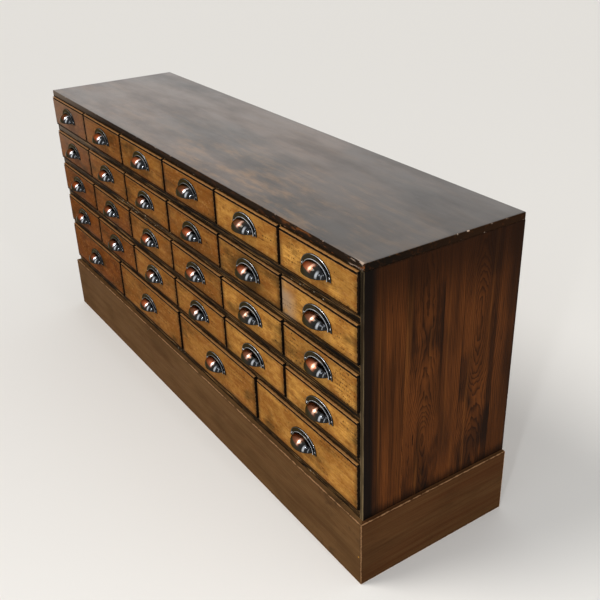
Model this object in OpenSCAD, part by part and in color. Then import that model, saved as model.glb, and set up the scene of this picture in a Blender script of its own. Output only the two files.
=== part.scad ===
// Apothecary chest: a long, low case of small drawers on a plinth, with a cup
// pull screwed to every drawer front. The top rows hold small drawers and the
// bottom row holds wider and taller ones. The chest stands on the floor, its
// drawers open towards -Y, and the origin is on the floor under its middle.

/* [Case] */
// Length of the case, side to side
case_w = 1850; // [1600:10:2100]
// Depth of the case, from the front edges of its boards to its back
case_d = 463; // [420:1:560]
// Thickness of each side board
side_t = 12; // [8:0.5:24]
// Thickness of the bottom board
bottom_t = 25.5; // [12:0.5:30]
// Thickness of the top board
top_t = 18.5; // [10:0.5:30]
// Radius of the eased upper edges of the top board
top_ease = 2; // [1:0.5:5]
// Thickness of the upright planks that close the back
back_t = 8; // [5:0.5:18]
// Number of back planks
back_planks = 12; // [6:1:20]
// Joint left between one back plank and the next
plank_gap = 1; // [0.5:0.5:4]

/* [Plinth] */
// Height of the plinth
plinth_h = 190; // [100:1:260]
// Thickness of the plinth boards
plinth_t = 22; // [16:0.5:30]
// How far the plinth stands out in front of the case
plinth_front_reach = 13; // [4:0.5:15]
// How far the plinth stands out past each side of the case
plinth_side_reach = 10; // [4:0.5:15]
// Radius of the eased upper edge of the plinth boards
plinth_ease = 3; // [1:0.5:6]
// Width of the square glue blocks in the plinth corners
block_w = 40; // [25:1:60]
// How far the glue blocks stop above the floor
block_up = 20; // [5:1:60]

/* [Drawer grid] */
// Number of rows of small drawers
small_rows = 4; // [2:1:4]
// Number of small drawers in a row
small_cols = 6; // [4:1:6]
// Number of wide drawers in the bottom row
wide_cols = 4; // [3:1:4]
// Height of the opening for a small drawer
small_open_h = 102; // [90:1:140]
// Height of the opening for a wide drawer
wide_open_h = 138; // [110:1:200]
// Thickness of the shelves between rows of small drawers
shelf_t = 22; // [10:0.5:30]
// Thickness of the shelf above the wide drawers
waist_t = 16; // [10:0.5:30]
// Thickness of the uprights between small drawers
upright_t = 9; // [6:0.5:20]
// Thickness of the uprights between wide drawers
wide_upright_t = 12; // [6:0.5:20]

/* [Drawer front] */
// Thickness of a drawer front
front_t = 20; // [16:0.5:26]
// How far the closed fronts stand out in front of the case
front_proud = 8.5; // [2:0.5:12]
// Diameter of the half-round bead along the top and bottom edges
bead_d = 3.8; // [3:0.2:7]
// Width of the quirk cut beside each bead
quirk_w = 2; // [1:0.25:4]
// Depth of the quirk below the face
quirk_d = 2.5; // [1:0.25:4]

/* [Drawer box] */
// Thickness of the drawer sides and back
box_t = 8; // [7:0.5:12]
// Thickness of the drawer bottom
floor_t = 6; // [4:0.5:10]
// Height of the drawer bottom's underside above the lower edge of the sides
floor_up = 5; // [3:0.5:10]
// Depth of the grooves that hold the drawer bottom
groove_d = 4; // [2:0.5:5]

/* [Cup pull] */
// Width of the pull across its two ears
pull_w = 114; // [100:1:130]
// Height of the back plate, ear tips to crown
pull_h = 45; // [41:1:60]
// How far the ear tips sit below the middle of the drawer front
pull_drop = 11; // [4:1:20]
// Straight part of the back plate's outline, above each ear tip
ear_h = 6; // [3:0.5:10]
// Thickness of the back plate
plate_t = 2.2; // [1.5:0.1:4]
// Width of the raised rim round the back plate
rim_w = 1.5; // [1:0.25:1.75]
// How far the rim stands out from the back plate
rim_t = 0.8; // [0.3:0.1:2]
// Width of the hood
hood_w = 93; // [80:1:94]
// Depth and height of the hood, measured from its bottom edge at the plate
hood_r = 30; // [24:0.5:32]
// Height of the hood's bottom edge above the ear tips
hood_up = 3; // [1:0.5:6]
// Thickness of the hood's metal
hood_t = 2; // [1.2:0.1:3]
// Width of the raised ring round the foot of the hood
ring_w = 2.5; // [1:0.25:3]
// How far the ring stands out from the back plate
ring_t = 1.4; // [0.5:0.1:3]

/* [Pull screws] */
// Distance of each screw from the ear's outer end
screw_in = 5; // [4.75:0.25:5.25]
// Height of each screw above the ear tips
screw_up = 9; // [7:0.5:11]
// Radius of the screw head
screw_head_r = 2.5; // [2:0.1:2.6]
// Height of the screw head's dome
screw_head_h = 1.6; // [1:0.1:2.5]
// Width of the slot across the screw head
screw_slot_w = 0.7; // [0.4:0.1:1]
// Depth of that slot
screw_slot_d = 0.8; // [0.4:0.1:1]
// Radius of the screw shank
screw_r = 1.4; // [1:0.1:1.6]
// Length of the screw below its head
screw_len = 14; // [8:0.5:16]

/* [Clearances] */
// Gap between boards that are glued or nailed together
glue_gap = 0.2; // [0.1:0.05:0.5]
// Height at which a drawer runs above the shelf below it
run_gap = 0.3; // [0.2:0.05:0.6]
// Gap between a closed drawer and the back planks
stop_gap = 0.3; // [0.2:0.05:2]
// Gap beside a drawer front, on each side
front_side_gap = 1.2; // [0.5:0.1:3]
// Gap below a drawer front
front_low_gap = 0.5; // [0.4:0.1:2]
// Gap above a drawer front
front_top_gap = 1.5; // [0.5:0.1:4]
// Gap between a drawer side and the upright beside it
box_side_gap = 1.5; // [0.5:0.1:4]
// Gap between a drawer side and the shelf above it
box_top_gap = 3; // [1:0.5:10]
// Radial clearance of a pull screw in its pilot hole in the wood
pilot_gap = 0.05; // [0.02:0.01:0.15]
// Radial clearance of a pull screw in the back plate
plate_hole_gap = 0.3; // [0.1:0.05:0.6]

/* [Hidden] */
$fn = 48;
rows = [1 : small_rows + 1];
inner_w = case_w - 2 * side_t;
inner_d = case_d - back_t;
pull_reach = glue_gap + hood_r;
reach = front_proud + pull_reach;
front_y = -(case_d - reach) / 2;
case_top = floor_z(1) + small_open_h;
plinth_w = case_w + 2 * plinth_side_reach;
arc_steps = 20;
overcut = 1;

pine = [0.66, 0.45, 0.24];
old_pine = [0.40, 0.25, 0.14];
dark_pine = [0.24, 0.17, 0.11];
plinth_brown = [0.36, 0.26, 0.17];
dark_copper = [0.30, 0.20, 0.15];

// What each row holds. Row 1 is the top row.
function is_wide(row) = row > small_rows;
function cols(row) = is_wide(row) ? wide_cols : small_cols;
function open_h(row) = is_wide(row) ? wide_open_h : small_open_h;
function upright(row) = is_wide(row) ? wide_upright_t : upright_t;
function open_w(row) = (inner_w - (cols(row) - 1) * upright(row)) / cols(row);
function open_x(row, col) = -inner_w / 2 + (col - 1) * (open_w(row) + upright(row));

// Top of the board that carries a row of drawers
function floor_z(row) = is_wide(row)
    ? plinth_h + bottom_t
    : floor_z(small_rows + 1) + wide_open_h + waist_t
        + (small_rows - row) * (small_open_h + shelf_t);

// Height of a drawer front, and of the pull's ear tips above the row's floor
function front_h(row) = open_h(row) - front_low_gap - front_top_gap;
function pull_z(row) = front_low_gap + front_h(row) / 2 - pull_drop;

// Points of the upper half of an ellipse, from its right end to its left end
function half_ellipse(a, b, rise) =
    [for (i = [0 : arc_steps]) [a * cos(180 * i / arc_steps), rise + b * sin(180 * i / arc_steps)]];

function drawer_name(row, col) = str("drawer_", row, "_", col);
function pull_name(row, col) = str("cup_pull_", row, "_", col);

// Moves what is measured from the front plane of the case into the chest's frame
module from_case_front() {
    translate([0, front_y, 0]) children();
}

// A board between two opposite corners
module board(low, high) {
    translate(low) cube(high - low);
}

// Draws an outline of (depth, height) as a strip that runs along X
module strip_x(from_x, to_x) {
    translate([from_x, 0, 0])
        rotate([90, 0, 90])
            linear_extrude(to_x - from_x) children();
}

// Draws an outline of (width, height) as a strip that runs along Y
module strip_y(from_y, to_y) {
    translate([0, to_y, 0])
        rotate([90, 0, 0])
            linear_extrude(to_y - from_y) children();
}

// Upper left corner of an outline rounded off: what is cut away
module ease_cut(x, y, r) {
    difference() {
        translate([x - overcut, y - r]) square(r + overcut);
        translate([x + r, y - r]) circle(r);
    }
}

// Top board, flush with the sides, its front and end edges eased
module top_board() {
    z = case_top;
    color(old_pine)
        intersection() {
            strip_x(-case_w / 2, case_w / 2)
                difference() {
                    translate([0, z]) square([case_d, top_t]);
                    ease_cut(0, z + top_t, top_ease);
                }
            strip_y(0, case_d)
                difference() {
                    translate([-case_w / 2, z]) square([case_w, top_t]);
                    ease_cut(-case_w / 2, z + top_t, top_ease);
                    mirror([1, 0]) ease_cut(-case_w / 2, z + top_t, top_ease);
                }
        }
}

// Side board on the right; the left one is its mirror image
module side_board() {
    board(
        [inner_w / 2, 0, plinth_h + glue_gap],
        [case_w / 2, case_d, case_top - glue_gap]
    );
}

// Upright planks side by side between the side boards
module back_boards() {
    pitch = (inner_w - 2 * glue_gap + plank_gap) / back_planks;
    for (i = [0 : back_planks - 1])
        let (x = -inner_w / 2 + glue_gap + i * pitch)
            board(
                [x, inner_d, plinth_h + glue_gap],
                [x + pitch - plank_gap, case_d, case_top - glue_gap]
            );
}

// A board across the case, between the sides and in front of the back planks
module shelf(low_z, high_z) {
    board(
        [-inner_w / 2 + glue_gap, 0, low_z],
        [inner_w / 2 - glue_gap, inner_d - glue_gap, high_z]
    );
}

// Sides, bottom and back of the case
module case_boards() {
    color(old_pine) {
        side_board();
        mirror([1, 0, 0]) side_board();
        shelf(plinth_h + glue_gap, floor_z(small_rows + 1));
        back_boards();
    }
}

// Shelves under the small drawers, and the uprights between drawers
module divider_grid() {
    color(dark_pine) {
        for (row = [1 : small_rows])
            let (t = row == small_rows ? waist_t : shelf_t)
                shelf(floor_z(row) - t, floor_z(row));
        for (row = rows, col = [2 : cols(row)])
            let (x = open_x(row, col) - upright(row), z = floor_z(row))
                board(
                    [x, 0, z + glue_gap],
                    [x + upright(row), inner_d - glue_gap, z + open_h(row) - glue_gap]
                );
    }
}

// Outline of a plinth board seen from its end, its outer face at the left
module plinth_outline() {
    difference() {
        square([plinth_t, plinth_h]);
        ease_cut(0, plinth_h, plinth_ease);
    }
}

// Front board of the plinth, mitred at both ends
module plinth_front() {
    y = -plinth_front_reach;
    x = plinth_w / 2;
    intersection() {
        strip_x(-x, x)
            translate([y, 0]) plinth_outline();
        linear_extrude(plinth_h)
            polygon([[-x, y], [x, y], [x - plinth_t, y + plinth_t], [plinth_t - x, y + plinth_t]]);
    }
}

// Left board of the plinth, mitred at the front
module plinth_side() {
    y = -plinth_front_reach + glue_gap;
    x = plinth_w / 2;
    intersection() {
        strip_y(y, case_d)
            translate([-x, 0]) plinth_outline();
        linear_extrude(plinth_h)
            polygon([[-x, y], [-x, case_d], [plinth_t - x, case_d], [plinth_t - x, y + plinth_t]]);
    }
}

// Back board of the plinth, between the side boards
module plinth_back() {
    x = plinth_w / 2 - plinth_t - glue_gap;
    board([-x, case_d - plinth_t, 0], [x, case_d, plinth_h]);
}

// Glue blocks in the two left corners
module plinth_blocks() {
    x = -plinth_w / 2 + plinth_t + glue_gap;
    for (y = [plinth_t - plinth_front_reach + glue_gap, case_d - plinth_t - glue_gap - block_w])
        board([x, y, block_up], [x + block_w, y + block_w, plinth_h]);
}

// Plinth boards and their corner blocks
module plinth_frame() {
    color(plinth_brown) {
        plinth_front();
        plinth_back();
        for (turn = [0, 1])
            mirror([turn, 0, 0]) {
                plinth_side();
                plinth_blocks();
            }
    }
}

// What is cut from a drawer front's outline along one edge: a square channel
// for the bead to lie in, and the quirk beside it
module bead_cut() {
    translate([-overcut, -overcut]) square([bead_d / 2 + overcut, bead_d + overcut]);
    translate([-overcut, bead_d]) square([quirk_d + overcut, quirk_w]);
}

// Outline of a drawer front seen from its end, its face at the left
module front_outline(h) {
    difference() {
        square([front_t, h]);
        bead_cut();
        translate([0, h]) mirror([0, 1]) bead_cut();
    }
    for (z = [bead_d / 2, h - bead_d / 2])
        translate([bead_d / 2, z]) circle(bead_d / 2);
}

// Pilot holes for the screws of the pull, measured from the pull's ear tips
module pilot_holes() {
    for (x = [-1, 1] * (pull_w / 2 - screw_in))
        translate([x, -overcut, screw_up])
            rotate([-90, 0, 0])
                cylinder(h = screw_len + overcut, r = screw_r + pilot_gap);
}

// Drawer front, with a groove for the bottom board
module drawer_front(w, row) {
    back_y = front_t - front_proud;
    groove_x = box_side_gap + box_t - groove_d;
    difference() {
        translate([0, -front_proud, front_low_gap])
            strip_x(front_side_gap, w - front_side_gap)
                front_outline(front_h(row));
        board(
            [groove_x, back_y - groove_d, run_gap + floor_up - glue_gap],
            [w - groove_x, back_y + overcut, run_gap + floor_up + floor_t + glue_gap]
        );
        translate([w / 2, -front_proud, pull_z(row)]) pilot_holes();
    }
}

// Left side of a drawer, grooved for the bottom board
module drawer_side(h) {
    difference() {
        board(
            [box_side_gap, front_t - front_proud + glue_gap, run_gap],
            [box_side_gap + box_t, inner_d - stop_gap, h - box_top_gap]
        );
        board(
            [box_side_gap + box_t - groove_d, 0, run_gap + floor_up - glue_gap],
            [box_side_gap + box_t + overcut, inner_d, run_gap + floor_up + floor_t + glue_gap]
        );
    }
}

// Bottom board of a drawer, held in the grooves
module drawer_floor(w) {
    x = box_side_gap + box_t - groove_d + glue_gap;
    board(
        [x, front_t - front_proud - groove_d + glue_gap, run_gap + floor_up],
        [w - x, inner_d - stop_gap, run_gap + floor_up + floor_t]
    );
}

// Back board of a drawer, standing on the bottom board between the sides
module drawer_back(w, h) {
    x = box_side_gap + box_t + glue_gap;
    board(
        [x, inner_d - stop_gap - box_t, run_gap + floor_up + floor_t + glue_gap],
        [w - x, inner_d - stop_gap, h - box_top_gap]
    );
}

// A whole drawer, closed, in its place in the case
module drawer(row, col) {
    w = open_w(row);
    h = open_h(row);
    color(pine)
        translate([open_x(row, col), 0, floor_z(row)]) {
            drawer_front(w, row);
            drawer_side(h);
            translate([w, 0, 0]) mirror([1, 0, 0]) drawer_side(h);
            drawer_floor(w);
            drawer_back(w, h);
        }
}

// Half-oval outline of the back plate, drawn in by a margin
module plate_outline(margin) {
    a = pull_w / 2 - margin;
    polygon(concat(half_ellipse(a, pull_h - ear_h - margin, ear_h), [[-a, 0], [a, 0]]));
}

// Half-oval outline on the foot of the hood, let out by a margin and carried
// down past the ear tips
module foot_outline(margin) {
    a = hood_w / 2 + margin;
    polygon(concat(half_ellipse(a, hood_r + margin, hood_up), [[-a, -overcut], [a, -overcut]]));
}

// Back plate, open behind the hood and below it, with its rim and ring
module pull_plate() {
    difference() {
        rotate([90, 0, 0]) {
            linear_extrude(plate_t) plate_outline(0);
            linear_extrude(plate_t + rim_t)
                difference() {
                    plate_outline(0);
                    translate([0, -overcut]) plate_outline(rim_w);
                    plate_outline(rim_w);
                }
            linear_extrude(plate_t + ring_t)
                intersection() {
                    plate_outline(0);
                    foot_outline(ring_w);
                }
        }
        translate([0, overcut, 0])
            rotate([90, 0, 0])
                linear_extrude(plate_t + ring_t + 2 * overcut) foot_outline(-hood_t);
        for (x = [-1, 1] * (pull_w / 2 - screw_in))
            translate([x, overcut, screw_up])
                rotate([90, 0, 0])
                    cylinder(h = plate_t + 2 * overcut, r = screw_r + plate_hole_gap);
    }
}

// Hood: a quarter turn of a half oval shell about its lower back edge
module pull_hood() {
    outer = [for (p = half_ellipse(hood_w / 2, hood_r, 0)) [p[1], p[0]]];
    inner = [for (p = half_ellipse(hood_w / 2 - hood_t, hood_r - hood_t, 0)) [p[1], -p[0]]];
    translate([0, 0, hood_up])
        rotate([90, 0, -90])
            rotate_extrude(angle = 90)
                polygon(concat(outer, inner));
}

// Domed wood screw with a slot, its head's underside at the origin, pointing +Y
module pull_screw() {
    dome_r = (screw_head_r * screw_head_r + screw_head_h * screw_head_h) / (2 * screw_head_h);
    tip = 2 * screw_r;
    rotate([-90, 0, 0]) {
        difference() {
            intersection() {
                translate([0, 0, dome_r - screw_head_h]) sphere(dome_r);
                translate([0, 0, -screw_head_h]) cylinder(h = screw_head_h, r = screw_head_r);
            }
            board(
                [-screw_head_r, -screw_slot_w / 2, -screw_head_h - overcut],
                [screw_head_r, screw_slot_w / 2, -screw_head_h + screw_slot_d]
            );
        }
        cylinder(h = screw_len - tip, r = screw_r);
        translate([0, 0, screw_len - tip]) cylinder(h = tip, r1 = screw_r, r2 = 0);
    }
}

// A cup pull and its two screws, on the front of a closed drawer
module cup_pull(row, col) {
    at = [open_x(row, col) + open_w(row) / 2, -front_proud, floor_z(row) + pull_z(row)];
    color(dark_copper)
        translate(at) {
            translate([0, -glue_gap, 0]) {
                pull_plate();
                pull_hood();
            }
            for (x = [-1, 1] * (pull_w / 2 - screw_in))
                translate([x, -plate_t - 2 * glue_gap, screw_up]) pull_screw();
        }
}

from_case_front() top_board();
from_case_front() case_boards();
from_case_front() divider_grid();
from_case_front() plinth_frame();
for (row = rows, col = [1 : cols(row)])
    from_case_front() drawer(row, col);
for (row = rows, col = [1 : cols(row)])
    from_case_front() cup_pull(row, col);
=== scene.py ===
"""Looks of a long apothecary chest: worn pine drawer fronts, a dark case and metal cup pulls.

Everything is in metres, in the chest's own frame: +X runs to the right along the chest, the
drawers open towards -Y, +Z is up, and the floor is at height 0. Sizes that the construction
already has are read from the frame.
"""

import logging
import math
from dataclasses import dataclass, field
from enum import Enum
from functools import cached_property
from typing import Callable, Optional, Sequence, Union

import bmesh
import bpy
import numpy as np
from mathutils import Matrix, Vector


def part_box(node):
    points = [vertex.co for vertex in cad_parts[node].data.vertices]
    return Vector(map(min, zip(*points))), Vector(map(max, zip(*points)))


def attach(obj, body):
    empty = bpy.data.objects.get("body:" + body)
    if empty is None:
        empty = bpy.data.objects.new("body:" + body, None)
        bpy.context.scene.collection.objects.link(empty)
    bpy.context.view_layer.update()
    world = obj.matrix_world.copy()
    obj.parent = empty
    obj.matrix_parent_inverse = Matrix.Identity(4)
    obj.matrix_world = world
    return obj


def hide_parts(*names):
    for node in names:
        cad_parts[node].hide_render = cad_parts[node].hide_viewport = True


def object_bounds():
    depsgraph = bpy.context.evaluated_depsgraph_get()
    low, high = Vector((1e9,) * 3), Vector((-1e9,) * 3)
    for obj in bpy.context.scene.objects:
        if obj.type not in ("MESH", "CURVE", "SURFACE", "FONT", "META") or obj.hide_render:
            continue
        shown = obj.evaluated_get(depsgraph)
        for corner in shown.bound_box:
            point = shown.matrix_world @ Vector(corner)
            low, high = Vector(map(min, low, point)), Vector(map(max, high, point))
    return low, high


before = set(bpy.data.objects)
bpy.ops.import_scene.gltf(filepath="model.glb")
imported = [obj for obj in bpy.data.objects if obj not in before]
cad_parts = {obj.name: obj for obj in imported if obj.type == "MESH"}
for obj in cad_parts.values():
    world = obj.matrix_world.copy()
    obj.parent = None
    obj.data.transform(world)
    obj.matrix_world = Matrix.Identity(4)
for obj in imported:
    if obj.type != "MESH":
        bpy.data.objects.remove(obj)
CAD_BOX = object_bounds()

log = logging.getLogger("chest")

Colour = tuple[float, float, float, float]
Material = bpy.types.Material
Operand = Union["Value", float, tuple[float, ...]]
Piece = bpy.types.Object
Point = tuple[float, float]
Reach = tuple[float, float]
Socket = bpy.types.NodeSocket

JOINT_GAP = 0.0002


def srgb(*channels: int) -> Colour:
    """Turn a screen colour into the linear one that a shader takes.

    Args:
        channels: Red, green and blue, from 0 to 255.

    Returns:
        The linear colour, opaque.
    """
    shares = (channel / 255 for channel in channels)
    lifted = (s / 12.92 if s <= 0.04045 else ((s + 0.055) / 1.055) ** 2.4 for s in shares)
    return (*lifted, 1.0)


def arc(start: float, end: float, steps: int) -> list[float]:
    """Even turns in radians from a start to an end in degrees, both of them included."""
    return [math.radians(start + (end - start) * k / steps) for k in range(steps + 1)]


class Cut(Enum):
    """How a board lies: its axes along the grain, across the rings and through the board."""

    RAIL = (0, 2, 1)
    SHELF = (0, 1, 2)
    RUNNER = (1, 2, 0)
    POST = (2, 1, 0)
    PLANK = (2, 0, 1)


class Marks(Enum):
    """What has happened to a drawer front: how smoked, inked and bleached it is."""

    PLAIN = (0.3, 0.35, 0.0)
    SMOKED = (0.95, 0.5, 0.0)
    INKED = (0.3, 1.0, 0.0)
    BLEACHED = (0.3, 0.4, 0.9)


@dataclass(frozen=True)
class Lot:
    """What sets one board apart from the next.

    Attributes:
        seed: Where in the endless pattern the board was sawn.
        tone: How pale it is, from 0 to 1.
        wear: How rubbed and stained it is, from 0 to 1.
        marks: What has happened to it.
        heart: Where the middle of the tree lay, from -1 to 1 across the board; None for anywhere.
        straight: How many times longer than usual its figure is.
    """

    seed: float
    tone: float = 0.5
    wear: float = 0.5
    marks: Marks = Marks.PLAIN
    heart: Optional[float] = None
    straight: float = 1.0

    # How widely the middles of the trees are scattered, and how fast they change with the seed.
    HEART_SPREAD = 1.2
    HEART_RATE = 7.31

    def heart_share(self) -> float:
        """Where the middle of the tree lay, as a share of half the board's width."""
        chance = (self.seed * self.HEART_RATE) % 1.0 - 0.5
        return self.HEART_SPREAD * chance if self.heart is None else self.heart


@dataclass(frozen=True)
class Blank:
    """The straight board that a shape is cut from, which places its grain.

    Attributes:
        x: Its reach along X.
        y: Its reach along Y.
        z: Its reach along Z.
        cut: How it lies.
        lot: Its own look.
        panel: The three reaches of the glued panel that it is part of, if any.
    """

    x: Reach
    y: Reach
    z: Reach
    cut: Cut
    lot: Lot
    panel: Optional[tuple[Reach, Reach, Reach]] = None


def corners(reaches: Sequence[Reach]) -> tuple[np.ndarray, np.ndarray]:
    """Lowest and highest corner of the box with these reaches along X, Y and Z."""
    low, high = np.array(reaches).T
    return low, high


def rounded_outline(low: Sequence[float], high: Sequence[float], ease: float, steps: int) -> list[Point]:
    """Outline of a rectangle with rounded corners.

    Args:
        low: Lowest corner.
        high: Highest corner.
        ease: Radius of the corners.
        steps: Facets in each corner.

    Returns:
        Points in order round the outline.
    """
    left, bottom, right, top = low[0] + ease, low[1] + ease, high[0] - ease, high[1] - ease
    centres = ((right, top, 0), (left, top, 90), (left, bottom, 180), (right, bottom, 270))
    return [
        (a + ease * math.cos(turn), b + ease * math.sin(turn))
        for a, b, start in centres
        for turn in arc(start, start + 90, steps)
    ]


class Stock:
    """Collects the solid shapes of one piece, with what its finishes read at each point.

    Five attributes go into the mesh. "grain" is a point's place in the tree: along it, across
    from its middle, and through the board. "spot" is its place on the panel, from the panel's
    middle, in the same order, and "extent" is half the panel's size. "lot" holds the board's
    seed, tone and wear. "marks" holds how smoked, inked and bleached it is; on a pull it is
    the place round its section, the place along it, and its part.
    """

    FACTS = ("grain", "spot", "extent", "lot", "marks")
    LEAST_RADIUS = 0.02

    def __init__(self) -> None:
        """Start with nothing."""
        self.points: list[np.ndarray] = []
        self.faces: list[tuple[int, ...]] = []
        self.finishes: list[int] = []
        self.facts: dict[str, list[np.ndarray]] = {name: [] for name in self.FACTS}

    def loft(
        self,
        rings: Sequence[np.ndarray],
        blank: Blank,
        finish: int = 0,
        course: Optional[np.ndarray] = None,
    ) -> None:
        """Add a closed shape through rings that have the same number of points.

        Args:
            rings: Rings of points, from one end to the other.
            blank: The board that the shape is cut from.
            finish: Which of the piece's materials it takes.
            course: On a pull, what "marks" holds at each point.
        """
        points, order, lot = np.vstack(rings), list(blank.cut.value), blank.lot
        low, high = corners((blank.x, blank.y, blank.z))
        grain = (points - (low + high) / 2)[:, order]
        grain[:, 0] /= lot.straight
        grain[:, 1] -= lot.heart_share() * (high - low)[order[1]] / 2
        least, most = corners(blank.panel) if blank.panel else (low, high)
        spot = (points - (least + most) / 2)[:, order]
        fixed = (((most - least) / 2)[order], (lot.seed, lot.tone, lot.wear), lot.marks.value)
        rows = [grain, spot, *(np.tile(value, (len(points), 1)) for value in fixed)]
        if course is not None:
            rows[-1] = course
        for name, values in zip(self.FACTS, rows):
            self.facts[name].append(values)

        first, n = sum(len(added) for added in self.points), len(rings[0])
        last = len(points) - n
        faces = [tuple(range(n))]
        for base in range(0, last, n):
            for i in range(n):
                j = (i + 1) % n
                faces.append((base + i, base + j, base + n + j, base + n + i))
        faces.append(tuple(range(last, len(points))))
        self.faces += [tuple(first + i for i in face) for face in faces]
        self.finishes += [finish] * len(faces)
        self.points.append(points)

    def board(
        self,
        blank: Blank,
        ease: float = 0.0008,
        steps: int = 1,
        stations: int = 0,
        shape: Optional[Callable[[np.ndarray], np.ndarray]] = None,
        finish: int = 0,
    ) -> None:
        """Add a board with eased edges.

        Args:
            blank: The board's reaches, grain and look.
            ease: Radius of its edges.
            steps: Facets in each rounded edge.
            stations: Extra rings along the grain, for a shape that wanders.
            shape: Moves the points of a ring, where the board isn't true.
            finish: Which of the piece's materials it takes.
        """
        run = blank.cut.value[0]
        sides = [axis for axis in range(3) if axis != run]
        low, high = corners((blank.x, blank.y, blank.z))
        length = high[run] - low[run]
        near = [(ease * (1 - math.cos(turn)), ease * (1 - math.sin(turn))) for turn in arc(0, 90, steps)]
        part = (length - 2 * ease) / (stations + 1)
        middle = [(ease + part * k, 0.0) for k in range(1, stations + 1)]
        far = [(length - at, inset) for at, inset in reversed(near)]
        rings = []
        for at, inset in near + middle + far:
            radius = max(ease - inset, self.LEAST_RADIUS * ease)
            outline = rounded_outline(low[sides] + inset, high[sides] - inset, radius, steps)
            ring = np.zeros((len(outline), 3))
            ring[:, run] = low[run] + at
            ring[:, sides] = outline
            rings.append(shape(ring) if shape else ring)
        self.loft(rings, blank, finish)

    def make(self, name: str, finishes: Sequence[Material], crease: float = 35.0) -> Piece:
        """Turn what was collected into an object, its faces outwards.

        Args:
            name: The object's name.
            finishes: Its materials, in the order that the shapes named them.
            crease: Edges sharper than this many degrees stay crisp.

        Returns:
            The new object, at the origin.
        """
        mesh = bpy.data.meshes.new(name)
        mesh.from_pydata(np.vstack(self.points).tolist(), [], self.faces)
        for fact, rows in self.facts.items():
            layer = mesh.attributes.new(fact, "FLOAT_VECTOR", "POINT")
            layer.data.foreach_set("vector", np.vstack(rows).astype(np.float32).ravel())
        for material in finishes:
            mesh.materials.append(material)
        mesh.polygons.foreach_set("material_index", self.finishes)
        mesh.polygons.foreach_set("use_smooth", [True] * len(mesh.polygons))
        shape = bmesh.new()
        shape.from_mesh(mesh)
        bmesh.ops.recalc_face_normals(shape, faces=shape.faces)
        shape.to_mesh(mesh)
        shape.free()
        mesh.update()
        mesh.set_sharp_from_angle(angle=math.radians(crease))
        return show(name, mesh)


def show(name: str, data: bpy.types.ID) -> Piece:
    """Put an object with this mesh, light or camera into the scene.

    Args:
        name: The object's name.
        data: What it holds.

    Returns:
        The object.
    """
    piece = bpy.data.objects.new(name, data)
    bpy.context.scene.collection.objects.link(piece)
    return piece


def dress(piece: Piece, body: str, slot: str, *nodes: str) -> None:
    """Tie a finished piece to its body, and hide the construction nodes it stands for.

    Args:
        piece: The finished object.
        body: The body that it moves with.
        slot: Not used.
        nodes: Construction nodes that it stands for.
    """
    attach(piece, body)
    if nodes:
        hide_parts(*nodes)
    log.info("%s: %d faces, rides on %s", piece.name, len(piece.data.polygons), body)


def feed(tree: bpy.types.NodeTree, node: bpy.types.Node, inputs: dict[Union[int, str], object]) -> None:
    """Link a node's inputs to what comes before it, or set them.

    Args:
        tree: The tree that holds the node.
        node: The node.
        inputs: What goes into each input, by its name or number.
    """
    for key, given in inputs.items():
        start = given.socket if isinstance(given, Value) else given
        if isinstance(start, bpy.types.NodeSocket):
            tree.links.new(start, node.inputs[key])
        else:
            node.inputs[key].default_value = start


def add_node(
    tree: bpy.types.NodeTree, kind: str, inputs: dict[Union[int, str], object], **settings: object
) -> bpy.types.Node:
    """Add a node to a tree.

    Args:
        tree: The tree.
        kind: The node's type.
        inputs: What goes into each input, by its name or number.
        settings: The node's properties.

    Returns:
        The node.
    """
    node = tree.nodes.new(kind)
    for name, value in settings.items():
        setattr(node, name, value)
    feed(tree, node, inputs)
    return node


def arithmetic(operation: str, swap: bool = False) -> Callable[..., "Value"]:
    """Write a method of Value that does one operation of the Math nodes.

    Args:
        operation: The operation's name.
        swap: Whether the value itself is the second operand.

    Returns:
        The method.
    """

    def method(self: "Value", *others: Operand) -> "Value":
        """Lay out the operation, on vectors where an operand is one.

        Args:
            others: The other operands.

        Returns:
            The result.
        """
        operands = (*others, self) if swap else (self, *others)
        vectors = [
            each.socket.type == "VECTOR" if isinstance(each, Value) else isinstance(each, tuple)
            for each in operands
        ]
        kind = "ShaderNodeVectorMath" if any(vectors) else "ShaderNodeMath"
        node = add_node(self.tree, kind, dict(enumerate(operands)), operation=operation)
        return Value(self.tree, node.outputs[0])

    return method


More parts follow.
